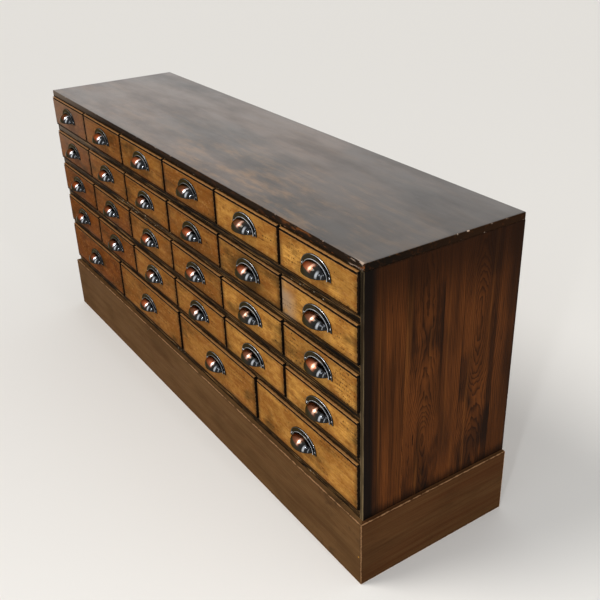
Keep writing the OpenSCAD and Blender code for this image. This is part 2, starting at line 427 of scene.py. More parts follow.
class Value:
    """A quantity in a node tree: arithmetic with it lays out more nodes."""

    def __init__(self, tree: bpy.types.NodeTree, socket: Socket) -> None:
        """Hold the socket that gives the quantity."""
        self.tree = tree
        self.socket = socket

    __add__ = __radd__ = arithmetic("ADD")
    __sub__ = arithmetic("SUBTRACT")
    __rsub__ = arithmetic("SUBTRACT", swap=True)
    __mul__ = __rmul__ = arithmetic("MULTIPLY")
    __truediv__ = arithmetic("DIVIDE")
    __abs__ = arithmetic("ABSOLUTE")
    least = arithmetic("MINIMUM")
    most = arithmetic("MAXIMUM")
    root = arithmetic("SQRT")
    sine = arithmetic("SINE")
    fraction = arithmetic("FRACT")

    def rise(self, start: Operand, end: Operand, most: Operand = 1.0, least: Operand = 0.0) -> "Value":
        """An effect that comes up smoothly while the value goes from start to end.

        Args:
            start: The value where the change starts.
            end: The value where it ends.
            most: The effect at its strongest.
            least: The effect at its weakest.

        Returns:
            The effect.
        """
        names = ("Value", "From Min", "From Max", "To Min", "To Max")
        inputs = dict(zip(names, (self, start, end, least, most)))
        node = add_node(self.tree, "ShaderNodeMapRange", inputs, interpolation_type="SMOOTHSTEP")
        return Value(self.tree, node.outputs["Result"])

    def fade(self, start: Operand, end: Operand, most: Operand = 1.0, least: Operand = 0.0) -> "Value":
        """An effect that dies away smoothly while the value goes from start to end."""
        return self.rise(start, end, least, most)

    def curve(self, stops: Sequence[Point]) -> "Value":
        """A curve over the value.

        Args:
            stops: The curve's points, as places and heights from 0 to 1.

        Returns:
            The curve's height.
        """
        node = add_node(self.tree, "ShaderNodeValToRGB", {0: self})
        while len(node.color_ramp.elements) < len(stops):
            node.color_ramp.elements.new(0.5)
        for element, (at, grey) in zip(node.color_ramp.elements, stops):
            element.position = at
            element.color = (grey, grey, grey, 1.0)
        return Value(self.tree, node.outputs[0])

    def split(self) -> list["Value"]:
        """The three parts of a vector."""
        node = add_node(self.tree, "ShaderNodeSeparateXYZ", {0: self})
        return [Value(self.tree, part) for part in node.outputs]


def distance(right: Value, up: Value) -> Value:
    """How far a point is from one that lies this far to the right and up."""
    return (right * right + up * up).root()


class Bench:
    """Lays out one material, and holds the colour that its layers build up."""

    def __init__(self, name: str) -> None:
        """Start a material that has a shader and its output."""
        self.material = bpy.data.materials.new(name)
        self.material.use_nodes = True
        self.tree = self.material.node_tree
        self.shader = self.tree.nodes["Principled BSDF"]
        self.place: Optional[Value] = None
        self.colour: Operand = (1.0, 1.0, 1.0, 1.0)

    def fact(self, name: str) -> Value:
        """The vector attribute that a board carries under this name."""
        node = add_node(self.tree, "ShaderNodeAttribute", {}, attribute_name=name)
        return Value(self.tree, node.outputs["Vector"])

    def chest_place(self) -> Value:
        """A point's place in the chest's frame."""
        return Value(self.tree, add_node(self.tree, "ShaderNodeTexCoord", {}).outputs["Object"])

    def noise(
        self,
        along: float,
        across: float,
        octaves: float = 2.0,
        rough: float = 0.5,
        through: Optional[float] = None,
    ) -> Value:
        """Cloudy pattern, read at the material's place.

        Args:
            along: Cells per metre along the grain.
            across: Cells per metre across it.
            octaves: Octaves of detail.
            rough: How strongly the finer octaves show.
            through: Cells per metre through the board; None for as many as across.

        Returns:
            Values about 0.5.
        """
        cells = (along, across, across if through is None else through)
        inputs = {"Vector": self.place * cells, "Scale": 1.0, "Detail": octaves, "Roughness": rough}
        return Value(self.tree, add_node(self.tree, "ShaderNodeTexNoise", inputs).outputs["Fac"])

    def mix(self, share: Operand, below: Operand, above: Operand) -> Value:
        """Blend two colours.

        Args:
            share: How much of the colour above, from 0 to 1.
            below: Colour below.
            above: Colour above.

        Returns:
            The blended colour.
        """
        inputs = {0: share, 6: below, 7: above}
        node = add_node(self.tree, "ShaderNodeMix", inputs, data_type="RGBA", clamp_factor=True)
        return Value(self.tree, node.outputs[2])

    def lay(self, share: Operand, tint: Operand) -> None:
        """Lay a tint over the colour so far."""
        self.colour = self.mix(share, self.colour, tint)

    def finish(self, height: Value, depth: float, inputs: dict[str, object]) -> Material:
        """Wire up the shader.

        Args:
            height: Relief of the surface, from 0 to 1.
            depth: Depth of the relief.
            inputs: What goes into the shader besides the colour, by the input's name.

        Returns:
            The finished material.
        """
        bump = add_node(self.tree, "ShaderNodeBump", {"Height": height, "Distance": depth})
        given = {"Base Color": self.colour, "Normal": bump.outputs["Normal"], **inputs}
        feed(self.tree, self.shader, given)
        return self.material


@dataclass(frozen=True)
class Layer:
    """A tint that comes up with a cloudy pattern.

    Attributes:
        tint: The tint.
        cells: The pattern, as noise() takes it.
        band: Where on it the tint comes up, and how much it covers, as rise() takes it.
    """

    tint: Colour
    cells: tuple[float, ...]
    band: tuple[float, ...]

    def share(self, bench: Bench) -> Value:
        """How much the tint covers."""
        return bench.noise(*self.cells).rise(*self.band)


@dataclass(frozen=True)
class WoodFinish:
    """Pine with growth rings, fibres, stain in patches, grime and rubbed edges.

    Attributes:
        name: The material's name.
        pale: Early wood of the palest board.
        deep: Early wood of the darkest board.
        line: Late wood, between the early rings.
        line_cover: How strongly the late wood shows.
        stain: What darkens it in patches.
        stain_cover: How far the patches cover it.
        grime: What has settled along the edges.
        grime_reach: How far from the edge the grime goes.
        grime_cover: How dense it is.
        bare: Wood showing where an edge is rubbed.
        rub_reach: How far from the edge it is rubbed.
        rub_cover: How much of the edge is rubbed.
        ring_gap: From one growth ring to the next.
        ring_rise: Rings crossed in a metre along the grain.
        heart: How far under the face the middle of the tree was.
        bow: How much that depth changes along the board.
        jag: How ragged the rings are, in ring gaps.
        gloss: Roughness where it is polished.
        dull: Roughness where it is worn.
        shine: Strength of its reflections.
        relief: Height of the grain.
        painted_sheen: Grey painted sheen, a painted reflection at the top left of the chest's front.
        painted_sheen_cover: How dense the painted sheen is.
        layers: Tints in cloudy patterns, laid before the finish's own marks.
    """

    name: str
    pale: Colour
    deep: Colour
    line: Colour
    line_cover: float = 0.5
    stain: Colour = srgb(40, 28, 18)
    stain_cover: float = 0.3
    grime: Colour = srgb(20, 16, 12)
    grime_reach: float = 0.006
    grime_cover: float = 0.6
    bare: Colour = srgb(170, 125, 80)
    rub_reach: float = 0.0015
    rub_cover: float = 0.4
    ring_gap: float = 0.0045
    ring_rise: float = 9.0
    heart: float = 0.02
    bow: float = 0.0
    jag: float = 0.0
    gloss: float = 0.35
    dull: float = 0.6
    shine: float = 0.15
    relief: float = 0.0003
    painted_sheen: Colour = srgb(168, 151, 134)
    painted_sheen_cover: float = 0.0
    layers: tuple[Layer, ...] = ()

    # How a board's seed moves it through the endless pattern.
    SEED_SHIFT = (3.7, 1.9, 2.3)

    # How far the rings wander, in metres and in rings, and the late wood over one of them.
    WANDER_REACH = 0.03
    WANDER_RINGS = 2.5
    JITTER_RINGS = 0.35
    RING = ((0.0, 0.05), (0.45, 0.15), (0.8, 0.75), (0.92, 1.0), (1.0, 0.1))

    # The wood's patterns, and how far they show in its tone, its gloss and its stain.
    STREAK = (2.2, 70.0, 3.0, 0.6)
    STREAK_TONE = 0.7
    FIBRE = (14.0, 900.0, 3.0, 0.6)
    FIBRE_ROUGHNESS = 0.12
    PATCH = (3.0, 9.0, 4.0, 0.6)
    STAIN_WEAR = 0.12

    # Rubbed edges: how far the bare wood reaches in, and where on its pattern it starts.
    RAGGED_REACH = 6.0
    RAGGED_LEVEL = 0.62
    RAGGED_COVER = 0.3

    def painted_sheen_share(self, bench: Bench) -> Value:
        """How dense the painted sheen, a painted reflection, is at a point of the chest."""
        x, _, z = bench.chest_place().split()
        return x.fade(-0.95, -0.35, self.painted_sheen_cover) * z.rise(0.52, 0.8)

    def rings(self, bench: Bench) -> Value:
        """Late wood of the growth rings, from 0 between them to 1 on the line.

        Args:
            bench: The material's nodes.

        Returns:
            How much late wood there is.
        """
        run, across, _ = bench.fact("grain").split()
        wander = bench.noise(1.6, 9.0, 3.0) - 0.5
        off = across + wander * self.WANDER_REACH
        depth = (bench.noise(3.2, 1.5, 1.0) - 0.5) * self.bow + self.heart
        count = distance(off, depth) / self.ring_gap
        count = count + run * self.ring_rise + wander * self.WANDER_RINGS
        count = count + bench.noise(6.0, 300.0) * self.JITTER_RINGS
        return (count + bench.noise(26.0, 90.0) * self.jag).fraction().curve(self.RING)

    def edge(self, bench: Bench) -> Value:
        """Distance from a point on a face to the nearest edge of its panel.

        Args:
            bench: The material's nodes.

        Returns:
            The middle one of the point's distances from the panel's three pairs of faces.
        """
        x, y, z = (bench.fact("extent") - abs(bench.fact("spot"))).split()
        return x + (y + z) - x.least(y.least(z)) - x.most(y.most(z))

    def mark(self, bench: Bench) -> None:
        """Lay this finish's own marks over the wood; none, unless a finish has some."""

    def reflection(self, bench: Bench) -> Operand:
        """Strength of the reflections."""
        return self.shine

    def build(self) -> Material:
        """Lay out the nodes.

        Returns:
            The material.
        """
        bench = Bench(self.name)
        seed, tone, wear = bench.fact("lot").split()
        bench.place = bench.fact("grain") + seed * self.SEED_SHIFT
        rings = self.rings(bench)
        fibre, streak, patch = (bench.noise(*cells) for cells in (self.FIBRE, self.STREAK, self.PATCH))

        bench.colour = bench.mix(tone + (streak - 0.5) * self.STREAK_TONE, self.deep, self.pale)
        bench.lay(rings * self.line_cover, self.line)
        bench.lay(fibre.rise(0.52, 0.75, 0.35), self.line)
        stained = patch + wear * self.STAIN_WEAR
        bench.lay(stained.rise(0.5, 0.78, self.stain_cover), self.stain)
        edge = self.edge(bench)
        dirty = edge + (patch - 0.5) * self.grime_reach
        bench.lay(dirty.fade(0.0, self.grime_reach, self.grime_cover), self.grime)
        for layer in self.layers:
            bench.lay(layer.share(bench), layer.tint)
        self.mark(bench)
        level = self.RAGGED_LEVEL - self.RAGGED_COVER * self.rub_cover
        reach = (bench.noise(60.0, 160.0, 3.0, 0.7) - level) * (self.RAGGED_REACH * self.rub_reach)
        bench.lay((edge - reach).fade(0.0, self.rub_reach, self.rub_cover), self.bare)

        rough = patch.rise(0.35, 0.7, self.dull, self.gloss)
        inputs = {
            "Roughness": rough + fibre * self.FIBRE_ROUGHNESS,
            "Specular IOR Level": self.reflection(bench),
        }
        return bench.finish(rings * 0.5 + fibre * 0.5, self.relief, inputs)


@dataclass(frozen=True)
class FrontFinish(WoodFinish):
    """Waxed honey pine of the drawer fronts, with dark quirks and ends, partly painted shade, a pale top
    edge, partly painted highlight, and old stains.

    Attributes:
        amber: Warmer patches.
        smoke: Smoked patches.
        ash: Bleached patches.
        lip: Bare wood of the top edge, paler as a painted highlight where it faces up.
        bead: Width of the bead along the top and bottom edges.
        quirk: Width of the quirk beside it.
        soot: Dirt in the quirk and dark stain on the ends, both deepened as painted shade.
        ink: Old ink.
        hole_out: How far the old pin holes are from the middle, to each side.
        hole_up: How far above the middle they are.
        hole_r: Radius of a pin hole.
        layers: Amber patches, large and small, and paler ones between the small ones.
    """

    amber: Colour = srgb(122, 70, 24)
    smoke: Colour = srgb(54, 40, 18)
    ash: Colour = srgb(150, 124, 98)
    lip: Colour = srgb(188, 136, 84)
    bead: float = 0.0038
    quirk: float = 0.002
    soot: Colour = srgb(13, 12, 11)
    ink: Colour = srgb(40, 27, 16)
    hole_out: float = 0.068
    hole_up: float = 0.019
    hole_r: float = 0.0013
    layers: tuple[Layer, ...] = (
        Layer(amber, (18.0, 36.0, 4.0, 0.65), (0.4, 0.64, 0.6)),
        Layer(amber, (90.0, 150.0, 4.0, 0.7), (0.5, 0.72, 0.6)),
        Layer(lip, (90.0, 150.0, 4.0, 0.7), (0.48, 0.3, 0.35)),
    )

    # How far haze spreads on a smoked front and ink on an inked one, and the ink's rows of
    # strokes: radians in a metre up the front, and how dense they are.
    HAZE_SMOKED = 0.26
    ZONE_INKED = 0.3
    ROW_RATE = 560.0
    STROKE_COVER = 0.85

    # Edges: how far they wander, the pale lip (partly painted highlight) and the dark quirk (dirt and
    # painted shade), from the quirk's lower side.
    CHIP_REACH = 0.003
    LIP_COVER = 0.45
    LIP_BELOW = (0.0022, 0.0042, 0.5)
    QUIRK_SHADE_BELOW = (0.0008, 0.0018, 0.96)
    QUIRK_SHADE_ABOVE = (0.0004, 0.0016, 0.8)

    def stain_patches(self, bench: Bench, run: Value, across: Value) -> None:
        """Lay on smoke, a bleached end, ink specks and rows of faint strokes.

        Args:
            bench: The material's nodes.
            run: Place along the front, from its middle.
            across: Place up the front, from its middle.
        """
        half_run = bench.fact("extent").split()[0]
        smoked, inked, bleached = bench.fact("marks").split()
        haze = bench.noise(8.0, 17.0, 3.0, 0.6) + smoked * self.HAZE_SMOKED
        bench.lay(haze.rise(0.58, 0.82, 0.7), self.smoke)
        pale = (run + half_run).fade(0.02, 0.075) * across.fade(0.005, 0.03, 1.0, 0.3) * bleached
        bench.lay(pale * haze.rise(0.4, 0.6), self.ash)

        zone = bench.noise(12.0, 26.0)
        specks = zone.rise(0.42, 0.62, 1.0, 0.25) * bench.noise(240.0, 380.0, 2.0, 0.7).rise(0.6, 0.7)
        bench.lay(specks * inked.rise(0.0, 1.0, 0.8, 0.3), self.ink)
        rows = (across * self.ROW_RATE).sine().rise(0.0, 0.5) * abs(run).rise(0.052, 0.07)
        rows = rows * (zone + inked * self.ZONE_INKED).rise(0.62, 0.74)
        strokes = rows * bench.noise(520.0, 170.0, 1.0).rise(0.53, 0.6)
        bench.lay(strokes * self.STROKE_COVER, self.ink)

    def mark(self, bench: Bench) -> None:
        """Lay on the stains, the painted sheen, the pin holes, the dark quirks and the dark ends, both
        partly painted shade.

        Args:
            bench: The material's nodes.
        """
        run, across, through = bench.fact("spot").split()
        half_run, half_across, half_through = bench.fact("extent").split()
        self.stain_patches(bench, run, across)
        # painted reflection: grey sheen over the fronts at the top left of the chest
        bench.lay(self.painted_sheen_share(bench), self.painted_sheen)
        hole = distance(abs(run) - self.hole_out, across - self.hole_up)
        bench.lay(hole.fade(self.hole_r * 0.6, self.hole_r * 1.6, 0.9), self.soot)

        chip = (bench.noise(70.0, 200.0, 3.0, 0.7) - 0.5) * self.CHIP_REACH
        from_top = half_across - across + chip
        from_low = half_across + across + chip
        foot = self.bead + self.quirk
        lip = bench.mix(self.LIP_COVER, bench.colour, self.lip)
        lip_below, quirk_shade_below, quirk_shade_above = (
            (foot + start, foot + end, most)
            for start, end, most in (self.LIP_BELOW, self.QUIRK_SHADE_BELOW, self.QUIRK_SHADE_ABOVE)
        )
        # partly painted highlight: the pale lip along the top edge and just below the quirk
        bench.lay(from_top.fade(*lip_below), lip)
        # dirt in the quirk, deepened as painted shade under the bead
        bench.lay(from_top.fade(*quirk_shade_below), self.soot)
        bench.lay(from_top.fade(0.001, 0.0019, 0.9), lip)
        # dirt in the lower quirk, deepened as painted shade
        bench.lay(from_low.fade(*quirk_shade_above), self.soot)
        # painted shade: near black more than 5 mm behind the face, in the gaps between drawers
        bench.lay((through + half_through + chip * 2.0).rise(0.0045, 0.0065, 0.9), self.soot)
        # dark ends: stain deepened as painted shade in the gaps
        bench.lay((half_run - abs(run)).fade(0.0004, 0.0012, 0.95), self.soot)


@dataclass(frozen=True)
class RailFinish(WoodFinish):
    """Dark shelves and uprights with long stripes and a few chips.

    Attributes:
        stripe: The dark stripes.
        pale_stripe: The pale ones.
        chalk: The chips.
        layers: The stripes, dark and pale.
    """

    stripe: Colour = srgb(12, 10, 8)
    pale_stripe: Colour = srgb(150, 112, 66)
    chalk: Colour = srgb(206, 194, 172)
    layers: tuple[Layer, ...] = (
        Layer(stripe, (2.5, 210.0, 1.0), (0.42, 0.54, 0.9)),
        Layer(pale_stripe, (8.0, 300.0, 2.0, 0.6), (0.56, 0.66, 0.7)),
    )

    def mark(self, bench: Bench) -> None:
        """Lay on the chips and the painted sheen.

        Args:
            bench: The material's nodes.
        """
        zone = bench.noise(2.0, 8.0, 1.0).rise(0.64, 0.7)
        bench.lay(bench.noise(110.0, 160.0, 1.0).rise(0.66, 0.7, 0.6) * zone, self.chalk)
        # painted reflection: grey sheen over the rails at the top left of the chest
        bench.lay(self.painted_sheen_share(bench), self.painted_sheen)


@dataclass(frozen=True)
class SideFinish(WoodFinish):
    """Dark stained pine of the case sides, black along the front, with a rubbed front arris.

    Attributes:
        soot: What blackens the front and the bottom.
        painted_top_shade: Painted shade that darkens the side towards the top, under the top board.
        olive: The worn front face.
        flame: Brighter streaks along the grain.
        dash: Pitch and short dark shakes.
        front_band: Width of the black band along the front.
        layers: Shakes, soaked patches, black clouds and bright streaks.
    """

    soot: Colour = srgb(15, 12, 10)
    painted_top_shade: Colour = srgb(33, 17, 8)
    olive: Colour = srgb(98, 82, 57)
    flame: Colour = srgb(132, 80, 35)
    dash: Colour = srgb(16, 11, 8)
    front_band: float = 0.036
    layers: tuple[Layer, ...] = (
        Layer(dash, (14.0, 110.0), (0.68, 0.76, 0.85)),
        Layer(dash, (2.4, 24.0, 4.0, 0.6), (0.48, 0.64, 0.6)),
        Layer(soot, (4.5, 8.0, 3.0, 0.55), (0.46, 0.64, 0.65)),
        Layer(flame, (1.6, 55.0, 3.0, 0.6), (0.56, 0.74, 0.45)),
    )

    # The dark bands: how far they wander, and how wide and dense the front one is.
    DRIFT_REACH = 0.05
    DRIFT_FRONT = 0.4
    FRONT_SHARES = (0.55, 1.25)
    FRONT_COVER = 0.93

    def mark(self, bench: Bench) -> None:
        """Lay on the dark bands, the painted shade at the top, the worn front face and the rubbed arris.

        Args:
            bench: The material's nodes.
        """
        run, across, _ = bench.fact("spot").split()
        half_run, half_across, _ = bench.fact("extent").split()
        wobble = (bench.noise(5.0, 30.0, 4.0, 0.65) - 0.5) * self.DRIFT_REACH
        from_front = half_across + across
        front = (*(self.front_band * share for share in self.FRONT_SHARES), self.FRONT_COVER)
        # painted shade: the side darkens towards the top, under the top board
        bench.lay((half_run - run + wobble).fade(0.008, 0.22, 0.85), self.painted_top_shade)
        bench.lay((from_front + wobble * self.DRIFT_FRONT).fade(*front), self.soot)
        bench.lay((half_run + run + wobble).fade(0.004, 0.035, 0.7), self.soot)

        scuff = bench.noise(24.0, 200.0, 3.0, 0.7)
        face = from_front.fade(0.0003, 0.001, 0.85) * scuff.rise(0.3, 0.6, 1.0, 0.5)
        bench.lay(face * run.fade(-0.35, 0.3, 1.0, 0.12), self.olive)
        arris = from_front.fade(0.0005, 0.0015, 0.7) * scuff.rise(0.4, 0.62, 1.0, 0.1)
        arris = arris * self.edge(bench).fade(0.0014, 0.003)
        bench.lay(arris * run.fade(-0.3, 0.25, 1.0, 0.3), self.bare)


@dataclass(frozen=True)
class TopFinish(WoodFinish):
    """Dark polished top board, with warm streaks, a worn front edge and chipped corners.

    Attributes:
        tan: Streaks where the polish has gone.
        slate: Clouds in the polish.
        umber: Colour of the edges.
        soot: Colour of the ends towards the front: dark end grain deepened as painted shade.
        ember: Colour of the ends towards the back, the same painted shade in brown.
        orange: Worn patches of the front edge.
        chalk: Chipped wood at the front right corner.
        edge_shine: Strength of the edges' reflections.
    """

    tan: Colour = srgb(158, 120, 78)
    slate: Colour = srgb(46, 44, 41)
    umber: Colour = srgb(31, 22, 15)
    soot: Colour = srgb(21, 16, 12)
    ember: Colour = srgb(42, 26, 15)
    orange: Colour = srgb(118, 68, 34)
    chalk: Colour = srgb(196, 172, 152)
    edge_shine: float = 0.006

    # Reflections at the left end and at the right end.
    SHINE_SHARES = (1.35, 0.7)

    # Where along the board the warm streaks show most, how dark its edges are, and how far
    # the torn front right corner wanders.
    ZONE_MIDDLE = 0.35
    EDGE_COVER = 0.95
    TORN_DRIFT = 0.06

    def on_edge(self, bench: Bench) -> Value:
        """How far a point is on one of the board's four narrow faces."""
        x, y, _ = (bench.fact("extent") - abs(bench.fact("spot"))).split()
        return x.least(y).fade(0.0006, 0.0022)

    def reflection(self, bench: Bench) -> Operand:
        """Strong reflections on the flat, most of all at the left, and weak ones on the edges.

        Args:
            bench: The material's nodes.

        Returns:
            Strength of the reflections.
        """
        run, across, _ = bench.fact("spot").split()
        left, right = (self.shine * share for share in self.SHINE_SHARES)
        polish = run.fade(-0.8, 0.7, left, right) * across.fade(-0.2, 0.2, 1.1, 0.85)
        return self.on_edge(bench).rise(0.0, 1.0, self.edge_shine, polish)

    def cloud(self, bench: Bench, run: Value, across: Value) -> None:
        """Lay clouds, warm streaks and scrapes on the flat.

        Args:
            bench: The material's nodes.
            run: Place along the board, from its middle.
            across: Place across the board, from its middle.
        """
        cloud = bench.noise(2.6, 5.0, 3.0)
        bench.lay(cloud.rise(0.44, 0.66, 0.6), self.slate)
        bench.lay(run.rise(0.1, 0.85, 0.7), self.slate)
        zone = abs(run - self.ZONE_MIDDLE).fade(0.15, 0.6, 1.0, 0.35)
        zone = across.fade(-0.14, 0.1, 1.0, 0.25) * zone
        bench.lay(bench.noise(8.0, 34.0, 5.0, 0.7).rise(0.44, 0.7, 0.42) * zone, self.tan)
        scraped = zone.most(cloud.rise(0.5, 0.6, 0.8))
        bench.lay(bench.noise(16.0, 260.0, 3.0, 0.6).rise(0.62, 0.72, 0.6) * scraped, self.umber)

    def mark(self, bench: Bench) -> None:
        """Lay on the clouds, the dark edges, the painted sheen on them, the ends darkened partly as
        painted shade, the wear and the chips.

        Args:
            bench: The material's nodes.
        """
        run, across, _ = bench.fact("spot").split()
        half_run, half_across, _ = bench.fact("extent").split()
        self.cloud(bench, run, across)
        edge = self.on_edge(bench)
        bench.lay(edge * self.EDGE_COVER, self.umber)
        # painted reflection: grey sheen on the top board's edges at the left
        bench.lay(edge * self.painted_sheen_share(bench), self.painted_sheen)
        from_end, from_right, from_front = half_run - abs(run), half_run - run, half_across + across
        # painted shade: the ends are dark end grain, deepened to near black
        dark_end_and_shade = bench.mix(across.rise(-0.22, 0.15), self.soot, self.ember)
        bench.lay(from_end.fade(0.0008, 0.003, 0.9), dark_end_and_shade)

        scuff, arris = bench.noise(22.0, 90.0, 3.0, 0.65), self.edge(bench)
        worn = scuff.rise(0.52, 0.68, 0.9) * (run.rise(0.45, 0.8, 1.0, 0.12) * edge)
        bench.lay(worn * from_front.fade(0.0005, 0.002, 1.0, 0.12), self.orange)
        chip = bench.noise(60.0, 60.0, 2.0, 0.6).rise(0.64, 0.69, 0.9) * arris.fade(0.0015, 0.003)
        bench.lay(chip * from_right.fade(0.0, 0.3, 1.0, 0.35), self.chalk)
        torn = (from_right + (scuff - 0.5) * self.TORN_DRIFT).fade(0.02, 0.07, 0.8)
        torn = torn * arris.fade(0.002, 0.007) * from_front.fade(0.0, 0.012)
        torn = torn * from_end.rise(0.001, 0.006)
        bench.lay(torn * bench.noise(50.0, 420.0, 3.0, 0.6, 300.0).rise(0.48, 0.6), self.chalk)


@dataclass(frozen=True)
class PlinthFinish(WoodFinish):
    """Brown satin plinth, smudged towards the right, with one filled nail hole.

    Attributes:
        smudge: Dark hand marks.
        filler: The yellow filler.
        filler_run: Where the filled hole is, along the front board.
        filler_up: Where it is, across the board.
        filler_r: Its radius.
    """

    smudge: Colour = srgb(40, 29, 20)
    filler: Colour = srgb(176, 130, 48)
    filler_run: float = 0.925
    filler_up: float = -0.012
    filler_r: float = 0.003

    FILLER_COVER = 0.9

    def mark(self, bench: Bench) -> None:
        """Lay on the smudges and the filled hole.

        Args:
            bench: The material's nodes.
        """
        run, across, _ = bench.fact("spot").split()
        smear = bench.noise(10.0, 14.0, 4.0, 0.65).rise(0.54, 0.72)
        bench.lay(smear * run.rise(0.45, 0.85, 0.6, 0.1), self.smudge)
        away = distance(run - self.filler_run, across - self.filler_up)
        bench.lay(away.fade(self.filler_r * 0.5, self.filler_r, self.FILLER_COVER), self.filler)


@dataclass(frozen=True)
class PullFinish:
    """Darkened copper, polished by hands on the hood's crown and along the raised edges, with painted
    highlights and painted reflections.

    Attributes:
        name: The material's name.
        dark: The darkened metal.
        olive: Tarnish on the plate and on the lower front of the hood, where it also stands for a
            painted dark reflection.
        umber: The crown of a pull that is hardly used, which also stands for the darker painted
            reflections on the pulls to the left.
        dim_highlight: Its ring and rim, polished, with a dimmer painted highlight.
        copper: The polished crown.
        painted_highlight: Colour of the painted highlight on the crown.
        bright_highlight: Colour of the painted highlights: on the polished ring and rim, on the flank's
            streaks, and on the crown of a pull that is hardly used.
        low: Share of the way up the hood where the polish starts; below it the hood keeps the olive,
            partly a painted dark reflection.
        high: Share of the way up where it ends.
        right: Share of the way from the right end where it starts.
        shy: How much further from it that is on a pull that is hardly used.
        left_highlight: Share round the hood where its painted highlight is on such a pull.
        right_highlight: The same on a pull that is much used.
        rim: What is left of its reflections where it turns away.
        gloss: Roughness of the darkened metal.
        dull: Roughness of the polished crown.
        relief: Height of its unevenness.
    """

    name: str
    dark: Colour = srgb(33, 35, 39)
    olive: Colour = srgb(64, 58, 46)
    umber: Colour = srgb(118, 56, 30)
    dim_highlight: Colour = srgb(112, 112, 110)
    copper: Colour = srgb(150, 88, 61)
    painted_highlight: Colour = srgb(232, 184, 158)
    bright_highlight: Colour = srgb(232, 236, 242)
    low: float = 0.38
    high: float = 0.96
    right: float = 0.385
    shy: float = -0.05
    left_highlight: float = 0.345
    right_highlight: float = 0.44
    rim: Colour = srgb(186, 182, 174)
    gloss: float = 0.1
    dull: float = 0.4
    relief: float = 0.00004

    # What a pull's seed moves it by, and how far the clouds dull it and move the olive of its tarnished
    # parts and painted reflection.
    SEED_SHIFT = (1.0, 0.0, 0.0)
    CLOUD_ROUGHNESS = 0.08
    TARNISH_DRIFT = 0.2

    # The crown: how its outline wanders, leans and softens; its leaning lower edge is where the painted
    # dark reflection starts.
    CROWN_DRIFT = 0.12
    CROWN_LEAN = 0.8
    CROWN_LEVEL_TURN = 0.6
    CROWN_LOW_SOFT = 0.06
    CROWN_HIGH_SOFT = 0.2
    CROWN_RIGHT_SOFT = (-0.02, 0.04)

    # The painted highlight: how it wanders, its core, and its half width on a pull used least and most.
    SPOT_DRIFT = 0.06
    SPOT_CORE = 0.004
    SPOT_HALF = (0.026, 0.042)
    SPOT_COVER = 0.85

    # Two painted highlight streaks on the right flank, as places and widths.
    STREAK_DRIFT = 0.03
    HIGHLIGHT_STREAKS = ((0.27, (0.008, 0.034)), (0.16, (0.004, 0.016, 0.5)))
    HIGHLIGHT_STREAK_COVER = 0.6

    # The ring and the rim: their places on the plate.
    RING_PLACE = 0.27
    RIM_PLACE = 0.93

    def crown(self, bench: Bench, wobble: Value, use_and_view_shift: Value) -> Value:
        """How polished the hood is.

        Args:
            bench: The material's nodes.
            wobble: What makes outlines wander.
            use_and_view_shift: How much the pull has been used, which also shifts its painted highlights
                and reflections from pull to pull.

        Returns:
            The polish, from 0 to 1.
        """
        up, turn, part = bench.fact("marks").split()
        wear = bench.fact("lot").split()[2]
        up = up + wobble * self.CROWN_DRIFT
        turn = turn + wobble * self.CROWN_DRIFT
        leaning = up + (self.CROWN_LEVEL_TURN - turn) * self.CROWN_LEAN
        foot = leaning.rise(self.low, self.low + self.CROWN_LOW_SOFT)
        head = up.fade(self.high - self.CROWN_HIGH_SOFT, self.high)
        start, end = (self.right + soft for soft in self.CROWN_RIGHT_SOFT)
        aside = (turn - use_and_view_shift.fade(0.0, 1.0, self.shy)).rise(start, end)
        amount = foot * head * (aside * turn.fade(0.72, 0.95, 1.0, 0.25))
        return amount * (part * wear.rise(0.2, 1.0, 1.0, 0.45))

    def spot(self, bench: Bench, wobble: Value, use_and_view_shift: Value) -> Value:
        """How near a point is to the painted highlight, a streak up the crown.

        Args:
            bench: The material's nodes.
            wobble: What makes outlines wander.
            use_and_view_shift: How much the pull has been used, which also shifts its painted highlights
                and reflections from pull to pull.

        Returns:
            The nearness, from 0 to 1.
        """
        up, turn, part = bench.fact("marks").split()
        least, most = self.SPOT_HALF
        middle = use_and_view_shift.rise(0.0, 1.0, self.right_highlight, self.left_highlight)
        half = use_and_view_shift.rise(0.0, 1.0, most, least)
        along = turn + wobble * self.SPOT_DRIFT - middle
        near = abs(along).fade(self.SPOT_CORE, half, self.SPOT_COVER)
        return near * (up.rise(0.24, 0.42) * up.fade(0.74, 0.95) * part)

    def streaks(self, bench: Bench, wobble: Value) -> Value:
        """How bright the flanks are, where the painted highlight streaks lie.

        Args:
            bench: The material's nodes.
            wobble: What makes outlines wander.

        Returns:
            The brightness, from 0 to 1.
        """
        up, turn, part = bench.fact("marks").split()
        turn = turn + wobble * self.STREAK_DRIFT
        wide, thin = (abs(turn - place).fade(*width) for place, width in self.HIGHLIGHT_STREAKS)
        return wide.most(thin) * (up.rise(0.0, 0.2) * up.fade(0.4, 0.75)) * part

    def edges(self, bench: Bench, wobble: Value) -> Value:
        """How bright the ring and the rim are: polished, with a painted highlight where the reflections
        fall.

        Args:
            bench: The material's nodes.
            wobble: What makes outlines wander.

        Returns:
            The brightness, from 0 to 1.
        """
        share, turn, part = bench.fact("marks").split()
        # painted highlight: the rim is bright only from the top round to the right, and the ring fades
        # to the left
        ring = abs(share - self.RING_PLACE).fade(0.03, 0.075) * turn.fade(0.5, 0.75, 1.0, 0.35)
        rim = abs(share - self.RIM_PLACE).fade(0.03, 0.07)
        rim = rim * turn.fade(0.5, 0.62, 1.0, 0.1) * turn.rise(0.12, 0.26, 1.0, 0.12)
        return ring.most(rim) * (1.0 - part) * wobble.rise(-0.16, 0.02, 1.0, 0.5)

